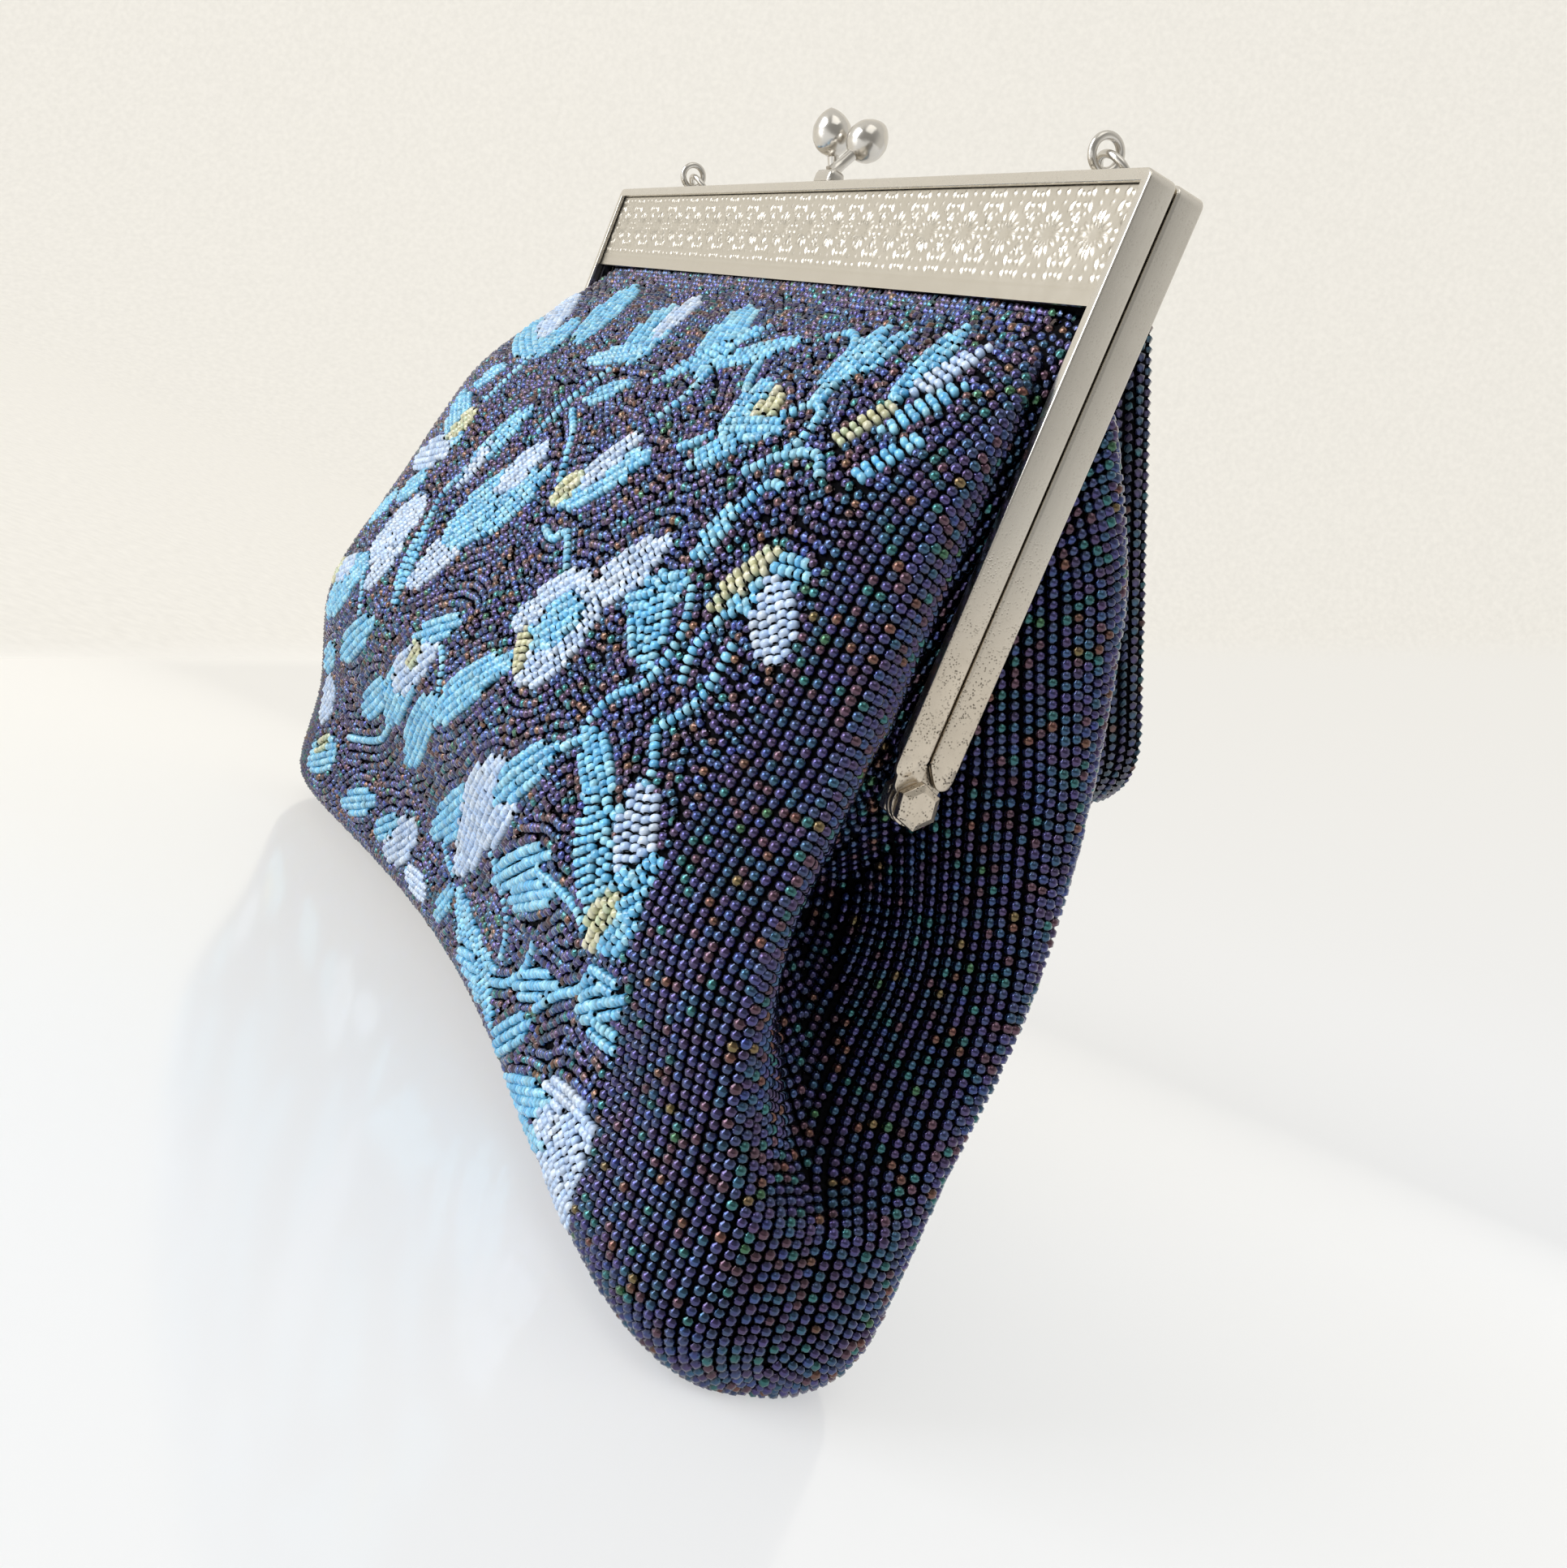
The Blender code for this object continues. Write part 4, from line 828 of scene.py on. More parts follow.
def wornNickel(name, base, dull, roughness, pitting):
    # Nickel plate on pressed steel: smooth and grey, hazed by handling, with fine pits and hairline scratches.
    # It is rougher and pitted low on the arms, and its colour there is lighter and warmer.
    made, tree, shader, place = newMaterial(name, {"Metallic": 1.0})
    height = addNode(tree, "SeparateXYZ", {"Vector": place}).outputs["Z"]
    low = addNode(tree, "MapRange", {
        "Value": height, "From Min": 0.088, "From Max": 0.110, "To Min": 1.0, "To Max": 0.12})
    haze = addNode(tree, "TexNoise", {"Vector": place, "Scale": 160.0, "Detail": 6.0, "Roughness": 0.65})
    pits = addNode(tree, "TexVoronoi", {"feature": "F1", "Vector": place, "Scale": 2600.0, "Randomness": 1.0})
    pitMask = addNode(tree, "MapRange", {
        "Value": pits, "From Min": 0.12, "From Max": 0.42, "To Min": 1.0, "To Max": 0.0})
    patches = addNode(tree, "TexNoise", {"Vector": place, "Scale": 420.0, "Detail": 3.0})
    where = addNode(tree, "MapRange", {"Value": patches, "From Min": 0.38, "From Max": 0.60})
    worn = addNode(tree, "Math", {"operation": "MULTIPLY", 0: where, 1: low})
    pitted = addNode(tree, "Math", {"operation": "MULTIPLY", 0: pitMask, 1: worn})
    color = addNode(tree, "Mix", {"data_type": "RGBA", "Factor": haze, "A": base, "B": dull})
    for amount, share, tone in ((low, 0.55, "#DCCBB2"), (pitted, pitting, "#5E564A")):
        part = addNode(tree, "Math", {"operation": "MULTIPLY", 0: amount, 1: share})
        color = addNode(tree, "Mix", {"data_type": "RGBA", "Factor": part, "A": color, "B": tone})
    rough = addNode(tree, "MapRange", {
        "Value": haze, "From Min": 0.3, "From Max": 0.7, "To Min": roughness * 0.75, "To Max": roughness * 1.3})
    hazed = addNode(tree, "Math", {"operation": "MULTIPLY_ADD", 0: low, 1: 0.12, 2: rough})
    drawn = addNode(tree, "Mapping", {
        "Vector": place, "Scale": (2200.0, 1400.0, 60.0), "Rotation": (0.12, 0.0, 0.0)})
    scratches = addNode(tree, "TexNoise", {"Vector": drawn, "Scale": 1.0, "Detail": 2.0})
    lines = addNode(tree, "Bump", {"Height": scratches, "Distance": 0.00002, "Strength": 0.35})
    dents = addNode(tree, "Bump", {
        "invert": True, "Height": pitted, "Distance": 0.00006, "Strength": 0.7 * pitting, "Normal": lines})
    feed(tree, shader, {"Base Color": color, "Roughness": hazed, "Normal": dents})
    return made


nickel = wornNickel("worn nickel plated steel", "#E6E2DA", "#D5D0C6", 0.24, 1.0)
brightNickel = wornNickel("polished nickel plated steel", "#DEDBD5", "#CFCBC4", 0.21, 0.2)
pressedNickel = wornNickel("pressed and plated steel sheet", "#D9D4C9", "#CEC8BC", 0.33, 0.15)
print("materials ready")


# Frame halves: a channel of bent sheet carried round the arch, with an end plate, a neck and a hinge ear on
# each arm. A pair is (share of the half's depth or of the ear's radius, rise over the arm's end or the hinge).
armEnd = {
    "channelRadii": (0.00032, 0.00048, 0.0001, 0.0001, 0.0003, 0.0003, 0.0001, 0.000224),
    "plateTop": 0.0008, "plateFoot": ((1, 0.0), (0.55, -0.0006)), "plateInner": 0.0024,
    "plateRadii": (0.0002, 0.0002, 0.0026, 0.0016, 0.0012), "plateProud": 0.00002,
    "plateBevels": (0.0003, 0.0001),
    "neckTop": 0.0022, "neckWidth": 0.93, "neckWaist": (0.80, 0.0014), "neckFoot": (0.5, -0.0005),
    "neckRadius": 0.0003, "neckIn": 0.00004, "neckBevel": 0.00005, "earBevel": 0.00012,
}


def archPath(inset, drop):
    # Up the left arm, round two corners of the radius that is left at this inset, and down the right arm
    f = metalFrame
    radius = max(f["cornerRadius"] - inset, f["leastRadius"])
    side, top, low = f["halfWidth"] - inset, f["height"] - inset, f["height"] - drop
    turn = np.linspace(0, np.pi / 2, 9)
    corner = np.column_stack([side - radius + radius * np.cos(turn), top - radius + radius * np.sin(turn)])
    arm = [(side, z) for z in np.linspace(low, top - radius, 12)[:-1]]
    right = np.concatenate([arm, corner])
    over = [(x, top) for x in np.linspace(side - radius, radius - side, 24)[1:-1]]
    return np.concatenate([right, over, (right * (-1, 1))[::-1]])


def frameHalf(name, side, body, replaced):
    f, e = metalFrame, armEnd
    face, inner, sheet = f["halfDepth"], f["faceInner"], f["sheet"]
    # Rounded channel section as (inset, depth)
    corners = [(0, face), (0, inner), (f["flange"], inner), (f["flange"], inner + sheet),
               (sheet, inner + sheet), (sheet, face - sheet), (f["rim"], face - sheet), (f["rim"], face)]
    section = roundedOutline(corners, e["channelRadii"])
    path = np.array([archPath(inset, f["armDrop"]) for inset, _ in section]).transpose(1, 0, 2)
    depth = np.broadcast_to(side * section[:, 1], path.shape[:2])
    parts = [loft(np.stack([path[..., 0], depth, path[..., 1]], -1))]
    armLow, endLow, hinge = (f["height"] - f[key] for key in ("armDrop", "endDrop", "hingeDrop"))
    turn = np.radians(np.linspace(0, 360, 33)[:-1])
    ear = np.column_stack([np.cos(turn), np.sin(turn)]) * f["earRadius"] + (0, hinge)
    # The end plate is square to the slit inside and well rounded outside
    plate = [(inner, armLow + e["plateTop"]), (face, armLow + e["plateTop"])]
    plate += [(face * share, endLow + rise) for share, rise in e["plateFoot"]]
    plate += [(inner, endLow + e["plateInner"])]
    waist, foot = e["neckWaist"], e["neckFoot"]
    neck = [(inner, endLow + e["neckTop"]), (face * e["neckWidth"], endLow + e["neckTop"]),
            (face * waist[0], hinge + waist[1]), (f["earRadius"] * foot[0], hinge + foot[1]), (inner, hinge)]
    plate, neck = (np.array(outline) * (side, 1) for outline in (plate, neck))
    for hand in (-1, 1):
        outer = hand * f["halfWidth"]
        parts.append(slab(roundedOutline(plate, e["plateRadii"], 8), outer - hand * e["plateProud"],
                          outer - hand * sheet, *e["plateBevels"]))
        shelf = outer if side < 0 else outer - hand * (sheet + f["gap"])
        parts.append(slab(roundedOutline(neck, e["neckRadius"], 2), shelf - hand * e["neckIn"],
                          shelf - hand * (sheet - e["neckIn"]), e["neckBevel"]))
        parts.append(slab(ear, shelf, shelf - hand * sheet, e["earBevel"]))
    points, its = joined(parts)
    piece = makePiece(name, points - moved, its, nickel, 35)
    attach(piece, body)
    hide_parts(replaced)


# Hexagonal heads: from where to where along X, radius and chamfer. The shank: its start, length and radius.
hingeHeads = {"cap": (0.0953, 0.0969, 0.00315, 0.00055), "rivet": (0.0930, 0.0913, 0.0031, 0.0004),
              "turned": 10, "shank": (0.0925, 0.0036, 0.001), "foot": (0.95, 0.00015), "worn": 0.00012}


def hingeHead(name, hand, near, far, radius, chamfer, body, replaced):
    # A short six-sided prism whose outer rim is cut back at a slope
    hinge = metalFrame["height"] - metalFrame["hingeDrop"]
    turn = np.radians(90 + hingeHeads["turned"] + 60 * np.arange(6))
    toward = np.sign(far - near)
    narrow, foot = hingeHeads["foot"]
    rings = [(near, radius * narrow), (near + foot * toward, radius), (far - chamfer * toward * 0.75, radius),
             (far, radius - 1.7 * chamfer)]
    parts = [loft([np.column_stack([np.full(6, hand * x), r * np.cos(turn), hinge + r * np.sin(turn)])
                   for x, r in rings])]
    if "pin" in replaced:
        start, length, shank = hingeHeads["shank"]
        parts.append(lathe((hand * start, 0, hinge), (hand, 0, 0), (0, length), (shank, shank), 24))
    points, its = joined(parts)
    piece = makePiece(name, points - moved, its, nickel, 20)
    bevel = piece.modifiers.new("worn edges", "BEVEL")
    bevel.width, bevel.segments, bevel.limit_method = hingeHeads["worn"], 3, "ANGLE"
    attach(piece, body)
    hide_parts(replaced)


frameHalf("front_frame_half", -1, "front_half", "front_frame")
frameHalf("back_frame_half", 1, "bag", "back_frame")
for hand, word in ((-1, "left"), (1, "right")):
    hingeHead(f"{word}_hexagon_head", hand, *hingeHeads["cap"], "front_half", f"{word}_hinge_cap")
    hingeHead(f"{word}_hinge_rivet", hand, *hingeHeads["rivet"], "bag", f"{word}_hinge_pin")
print("frame halves and hinges made")

# Pressed plates: starbursts in a row between small crosses, scrolls with paired dots, and drops along both
# edges, all in mm. A ridge is its drop, width and share of the relief, and a ray its distance, half length and
# half width.
pressing = {"repeat": 10.24, "start": 5.12, "middleDrop": 7.9, "relief": 0.25, "wide": 1.2, "step": 0.21,
            "backStep": 1.6, "border": (1.2, 0.3), "ridges": ((14.4, 0.22, 0.35), (1.75, 0.2, 0.3)),
            "thickness": 0.6, "crossRay": (2.35, 0.95, 0.24), "ray": (2.35, 0.82, 0.24),
            "shortRay": (1.5, 0.7, 0.13)}
# Rounded bumps: centre (x, z), half length, half width, angle from upright in degrees, height share. A starburst
# has long rays, paired on the cross, with short ones between them.
bumps = []
rays = []
for angle in range(0, 360, 90):
    rays += [(pressing["crossRay"], angle - 7, 1.0), (pressing["crossRay"], angle + 7, 1.0)]
    rays += [(pressing["ray"], angle + 30, 1.0), (pressing["ray"], angle + 60, 1.0)]
    rays += [(pressing["shortRay"], angle + turned, 0.6) for turned in (15, 45, 75)]
for (reach, half, wide), angle, share in rays:
    a = math.radians(angle)
    bumps.append((reach * math.sin(a), reach * math.cos(a), half, wide, -angle, share))
# Between them, mirrored up and down, the middle of the gap, and then what is mirrored left and right too: 1 from
# the gap's middle or 0 from the burst's, across, up, half length, half width, angle, how it leans, height share
gap = pressing["start"]
between = (
    (1, 0.9, 0.55, 0.36, 0.33, 0, 0, 1.0), (1, 0.55, 1.9, 0.75, 0.17, 0, -12, 0.7),
    (1, 1.95, 3.55, 0.95, 0.30, 0, 24, 1.1), (1, 0.78, 3.75, 0.40, 0.38, 0, 0, 1.1),
    (1, 1.35, 2.6, 0.5, 0.2, 0, -40, 0.7), (1, 1.6, 5.35, 0.62, 0.30, 0, 18, 1.0),
    (1, 0.55, 5.2, 0.4, 0.26, 0, -30, 0.9), (0, 1.25, 4.1, 0.5, 0.2, 0, -35, 0.6),
    (0, 1.05, 5.45, 0.42, 0.30, 0, -25, 0.9), (1, 2.15, 0.75, 0.45, 0.2, 90, -25, 0.7),
)
for up in (-1, 1):
    bumps += [(gap, up * 2.1, 1.0, 0.27, 0, 1.0), (gap, up * 1.0, 0.3, 0.2, 0, 0.8)]
    for sign in (-1, 1):
        for inGap, across, high, half, wide, turned, lean, share in between:
            bumps.append((gap * inGap + across * sign, up * high, half, wide, turned + sign * up * lean, share))


def pressedPlate(name, side, body, replaced, step):
    # A sheet whose face is raised by rounded bumps, repeated along the bar, over ridges that edge its pattern
    f, p = metalFrame, pressing
    end = f["halfWidth"] - f["sheet"] - f["gap"]
    top, low = f["height"] - f["sheet"] - f["gap"], f["height"] - f["plateHeight"]
    x = np.linspace(-end, end, int(2 * end * 1000 / step))
    z = np.linspace(top, low, int((top - low) * 1000 / step * 1.1))
    right, down = np.meshgrid(x * 1000, (f["height"] - z) * 1000)
    middle = p["repeat"] / 2
    local = (right - p["start"] + middle) % p["repeat"] - middle
    height = np.zeros_like(right)
    for cx, cz, half, wide, angle, share in bumps:
        dx = (local - cx + middle) % p["repeat"] - middle
        dz = p["middleDrop"] - down - cz
        a = math.radians(angle)
        along, across = -dx * math.sin(a) + dz * math.cos(a), dx * math.cos(a) + dz * math.sin(a)
        dome = np.clip(1 - (along / half) ** 2 - (across / wide / p["wide"]) ** 2, 0, 1) ** 0.75
        height = np.maximum(height, share * dome)
    border, fade = p["border"]
    height *= np.clip((end * 1000 - border - np.abs(right)) / fade, 0, 1)
    ridge = sum(np.exp(-(((down - drop) / wide) ** 2)) * share for drop, wide, share in p["ridges"])
    face = f["halfDepth"] - f["sheet"] - f["gap"]
    rise = (height + ridge) * p["relief"] / 1000
    front = np.stack([right / 1000, side * (face + rise), f["height"] - down / 1000], -1)
    back = front[::len(z) - 1, ::len(x) - 1].copy()
    back[..., 1] = side * (face - p["thickness"] / 1000)
    its = gridFaces(*down.shape)
    corners = [down.size + k for k in (0, 1, 3, 2)]
    for k, edge in enumerate(gridSides(*down.shape)):
        its.append(edge + [corners[(k + 1) % 4], corners[k]])
    its.append(corners)
    points = np.concatenate([front.reshape(-1, 3), back.reshape(-1, 3)])
    piece = makePiece(name, points - moved, its, pressedNickel, 60)
    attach(piece, body)
    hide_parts(replaced)


pressedPlate("front_pressed_plate", -1, "front_half", "front_plate", pressing["step"])
pressedPlate("back_pressed_plate", 1, "bag", "back_plate", pressing["step"] * pressing["backStep"])
print("pressed plates made")

# Kiss-lock clasp: pear balls on leaning stems that cross, each from a foot, and a domed stop. The foot's rims
# are (0 from its floor or 1 from its top, rise, inset), and the pear is widest a third of the way up.
lock = {"spread": 0.0073, "lean": 0.0035, "rise": 0.0098, "ball": 0.00335, "length": 0.0076, "stem": 0.00095,
        "foot": (0.006, 0.003, 0.0022), "footCorner": 0.0009, "stop": (0.0014, 0.0026, 0.0076),
        "footRims": ((0, 0, 0.0001), (0, 0.00015, 0), (1, -0.0009, 0), (1, -0.0003, 0.0002), (1, 0, 0.0007)),
        "stemFoot": (0.0013, 0.0011), "stemFlare": 1.05, "stemSunk": 0.0002, "stemOver": 0.0003, "tip": 0.00002,
        "pear": ((0, 0.32), (0.06, 0.56), (0.22, 0.88), (0.42, 1.0), (0.60, 0.95), (0.78, 0.73), (0.91, 0.43),
                 (0.97, 0.2), (1, 0.02))}


def claspHalf(side, body, word):
    f, k = metalFrame, lock
    x, y = -side * k["spread"] / 2, side * (f["halfDepth"] + f["faceInner"]) / 2
    floor = f["height"] + f["topClear"]
    wide, deep, tall = k["foot"]
    ring = roundedBar(wide / 2, deep / 2, k["footCorner"], 6)
    rims = [(insetOutline(ring, inset) + (x, y), tall * top + rise) for top, rise, inset in k["footRims"]]
    foot = loft([np.column_stack([flat, np.full(len(flat), floor + z)]) for flat, z in rims])
    base = np.array([x, y, floor + tall - k["stemSunk"]])
    middle = np.array([x, -side * k["lean"] / 2, f["height"] + k["rise"]])
    axis = (middle - base) / np.linalg.norm(middle - base)
    start = middle - axis * k["length"] / 2
    reach = np.linalg.norm(start - base)
    stem = lathe(base, axis, (0, k["stemSunk"], reach * 0.5, reach + k["stemOver"]),
                 (*k["stemFoot"], k["stem"], k["stem"] * k["stemFlare"]))
    u = np.linspace(0, 1, 33)
    ball = lathe(start, axis, u * k["length"], smoothTable(*zip(*k["pear"]), u) * k["ball"], 40)
    for part, (points, its) in (("foot", foot), ("stem", stem), ("ball", ball)):
        piece = makePiece(f"{word}_lock_{part}", points - moved, its, brightNickel, 50)
        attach(piece, body)
        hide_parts(f"{word}_clasp_{part}")
    if side > 0:
        radius, height, spacing = k["stop"]
        a = np.linspace(0, np.pi / 2, 9)
        heights = np.concatenate([[0], height - radius + radius * np.sin(a)])
        radii = np.concatenate([[radius], radius * np.cos(a[:-1]), [k["tip"]]])
        points, its = lathe((x + k["spread"] / 2 + spacing, y, floor), (0, 0, 1), heights, radii)
        piece = makePiece("back_lock_stop", points - moved, its, brightNickel, 50)
        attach(piece, body)
        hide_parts("back_clasp_lug")


claspHalf(1, "bag", "back")
claspHalf(-1, "front_half", "front")

# Wire eyes and link rings (radius and wire), end tabs and the beaded band of the handle. The neck is (height,
# radius) up from the frame, the barrel (radius, share of the tab's width), and the clamp (how far down, half
# width, half thickness).
handle = {
    "spacing": 0.1468, "rise": 0.0054, "eye": (0.0022, 0.0006), "link": (0.0029, 0.00055), "linkTilt": 55.0,
    "tilt": 28.4, "length": 0.0880, "width": 0.0100, "thickness": 0.0032, "bend": 0.0130, "tabLength": 0.0062,
    "tabWidth": 0.0030, "neck": ((0, 0.0011), (0.0002, 0.0012), (0.0008, 0.0008)), "neckTop": 0.00054,
    "barrel": ((0.0013, 0.42), (0.00189, 0.5), (0.0021, 0.42), (0.0021, -0.42), (0.00189, -0.5),
               (0.0013, -0.42)),
    "clamp": ((0.0017, 0.0019, 0.0011), (0.0026, 0.0026, 0.0013), (0.0040, 0.0039, 0.0015),
              (0.0054, 0.0048, 0.0016), (0.0062, 0.0050, 0.0016)),
    "clampCorner": 0.0006, "bandCorner": 0.0009, "coreInset": 0.0008, "tabGap": 0.0003,
    "beadRadius": 0.00078, "beadOver": 2.06, "beadLength": 0.00128, "columnPitch": 0.00158, "rowPitch": 0.00142,
    "slant": 0.55,
}


def downBack(degrees):
    return np.array([0.0, math.sin(math.radians(degrees)), -math.cos(math.radians(degrees))])


def eyeCenter(hand):
    f, h = metalFrame, handle
    return np.array([hand * h["spacing"] / 2, (f["halfDepth"] + f["faceInner"]) / 2, f["height"] + h["rise"]])


def linkEnd(hand):
    # Where the tab hangs in the link ring
    return eyeCenter(hand) + downBack(handle["linkTilt"]) * 2 * handle["link"][0]


for hand, word in ((-1, "left"), (1, "right")):
    center = eyeCenter(hand)
    radius, wire = handle["eye"]
    foot = (center[0], center[1], metalFrame["height"] + metalFrame["topClear"])
    heights, radii = zip(*handle["neck"], (center[2] - radius - foot[2], handle["neckTop"]))
    neck = lathe(foot, (0, 0, 1), heights, radii, 24)
    eye = joined([torus(center, (0, 1, 0), (0, 0, 1), radius, wire), neck])
    radius, wire = handle["link"]
    down = downBack(handle["linkTilt"])
    ring = torus(center + down * radius, (1, 0, 0), down, radius, wire)
    # Tab: an eye barrel that opens into a flared clamp round the band's end
    start, along = linkEnd(hand), downBack(handle["tilt"])
    wide = np.cross(along, (1, 0, 0))
    turn = np.linspace(0, 2 * np.pi, 40, endpoint=False)[:, None]
    out = along * np.cos(turn) + wide * np.sin(turn)
    barrel = np.array([start + out * r + np.array([1, 0, 0]) * handle["tabWidth"] * share
                       for r, share in handle["barrel"]])
    clamp = []
    for reach, half, thick in handle["clamp"]:
        outline = roundedBar(thick, half, handle["clampCorner"])
        clamp.append(start + along * reach + np.outer(outline[:, 0], (1, 0, 0)) + np.outer(outline[:, 1], wide))
    tab = joined([(barrel.reshape(-1, 3), gridFaces(*barrel.shape[:2], closed=True, looped=True)), loft(clamp)])
    for part, (points, its), material, smooth, body, node in (
        ("wire_eye", eye, brightNickel, 60, "bag", "handle_loop"),
        ("jump_ring", ring, brightNickel, 60, "handle", "link_ring"),
        ("end_tab", tab, nickel, 40, "handle", "strap_tab"),
    ):
        piece = makePiece(f"{word}_{part}", points - moved, its, material, smooth)
        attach(piece, body)
        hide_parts(f"{word}_{node}")
print("clasp and handle fittings made")


# Beaded handle: rows of beads wrapped round a dark core that runs down, across behind the bag and up again
def strapRoute():
    h = handle
    middle = (linkEnd(-1) + linkEnd(1)) / 2
    reach, radius = h["spacing"] / 2, h["bend"]
    top, low = h["tabLength"] + h["tabGap"], h["length"] - radius
    turn = np.linspace(0, np.pi / 2, 40)
    left = np.column_stack([np.full(60, -reach), np.linspace(top, low, 60), np.zeros(60)])
    bend = np.column_stack([-(reach - radius + radius * np.cos(turn)), low + radius * np.sin(turn), turn])
    across = np.column_stack([
        np.linspace(radius - reach, 0, 60), np.full(60, h["length"]), np.full(60, np.pi / 2)])
    half = np.concatenate([left, bend[1:], across[1:]])
    other = (half * (-1, 1, 1))[::-1][1:]
    other[:, 2] = np.pi - other[:, 2]
    route = np.concatenate([half, other])
    down, x = downBack(h["tilt"]), np.array([1.0, 0, 0])
    centers = middle + np.outer(route[:, 0], x) + np.outer(route[:, 1], down)
    outs = np.outer(-np.cos(route[:, 2]), x) + np.outer(np.sin(route[:, 2]), down)
    return centers, outs, np.cross(down, x)


def sectionPoint(share, half, thick):
    # Places round a bar with round corners by share of its length, with the outward direction
    ring = roundedBar(thick, half, handle["bandCorner"], 8)
    closed = np.concatenate([ring, ring[:1]])
    run = lengthsAlong(closed)
    at = share % 1 * run[-1]
    place = readAlong(at, run, closed)
    ahead = readAlong((at + 0.0002) % run[-1], run, closed) - place
    return place, unit(np.stack([ahead[..., 1], -ahead[..., 0]], -1)), run[-1]


def beadedHandle():
    h = handle
    centers, outs, wide = strapRoute()
    run = lengthsAlong(centers)
    half, thick = h["width"] / 2, h["thickness"] / 2
    inner = half - h["beadRadius"], thick - h["beadRadius"]
    _, _, around = sectionPoint(np.zeros(1), *inner)
    columns, rows = int(around / h["columnPitch"]), int(run[-1] / h["rowPitch"])
    column, row = np.meshgrid(np.arange(columns), np.arange(rows))
    at = (row + 0.5 + 0.5 * (column % 2)) / (rows + 0.5) * run[-1]
    place, normal, _ = sectionPoint(column / columns, *inner)
    out = readAlong(at, run, outs)
    out /= np.linalg.norm(out, axis=-1, keepdims=True)
    points = readAlong(at, run, centers) + out * place[..., :1] + wide * place[..., 1:]
    normals = out * normal[..., :1] + wide * normal[..., 1:]
    along = np.cross(out, wide)
    # Herringbone: neighbouring columns lean opposite ways
    runs = along + np.cross(normals, along) * np.where(column % 2 == 0, h["slant"], -h["slant"])[..., None]
    points, runs, normals = (values.reshape(-1, 3) for values in (points - moved, runs, normals))
    size = h["beadRadius"] * h["beadOver"], h["beadLength"]
    colors = pickColors("strap", rows * columns)
    piece, _ = beadMesh("handle_beads", points, runs, normals, colors, irisGlass, 7, False, *size)
    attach(piece, "handle")
    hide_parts("strap_band")
    core = insetOutline(roundedBar(thick, half, h["coreInset"], 3), h["coreInset"])
    points, its = loft(centers[:, None] + outs[:, None] * core[None, :, :1] + wide * core[None, :, 1:])
    piece = makePiece("handle_core", points - moved, its, groundCloth, 60)
    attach(piece, "handle")


beadedHandle()
print("beaded handle made")


# Cloth walls of the pouch: ground cloth under the beads and the satin lining inside it
def wall(name, side, outerInset, innerInset, material, slot, replaced, levels):
    # Two surfaces set in from the face along its normals, each by its first value in the hem and its next below
    drops = bottomCurve(levels[0], metalFrame["height"])
    points = pouchSurface(side, drops, ringTurns(*levels[1:]))
    normals = surfaceNormals(points, side)
    level, fade = pouch["clothSteps"]
    grow = np.clip((drops / metalFrame["height"] - level) / fade, 0, 1)[:, None, None]
    least = pouch["seamDepth"]
    grids = []
    for hem, below in (outerInset, innerInset):
        grid = points - normals * (hem + (below - hem) * grow)
        grid[:, [0, -1], 1] = side * least - moved[1]
        grid[-1, :, 1] = side * least - moved[1]
        grid[..., 1] = side * np.maximum(side * (grid[..., 1] + moved[1]), least) - moved[1]
        grids.append(grid)
    rows, columns = points.shape[:2]
    n = rows * columns
    its = gridFaces(rows, columns) + [face[::-1] for face in gridFaces(rows, columns, n)]
    rim = np.concatenate([side[:-1] for side in gridSides(rows, columns)])
    ahead = np.roll(rim, -1)
    its += np.stack([rim, ahead, ahead + n, rim + n], 1).tolist()
    piece = makePiece(name, np.concatenate([grid.reshape(-1, 3) for grid in grids]), its, material, 75)
    if side < 0:
        openWith(piece)
    else:
        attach(piece, "bag")
    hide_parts(*replaced)


walls = {
    "ground_cloth": ((0.0003, 0.00115), (0.0012, 0.0020), groundCloth, "dark_beads", "panel", (76, 44, 24)),
    "satin_lining": ((0.0014, 0.0023), (0.0020, 0.0029), satin, "satin", "lining", (50, 34, 14)),
}
for name, (*settings, node, levels) in walls.items():
    wall(f"front_{name}", -1, *settings, [f"front_upper_{node}", f"front_lower_{node}"], levels)
    wall(f"back_{name}", 1, *settings, [f"back_{node}"], levels)
print("cloth walls made")


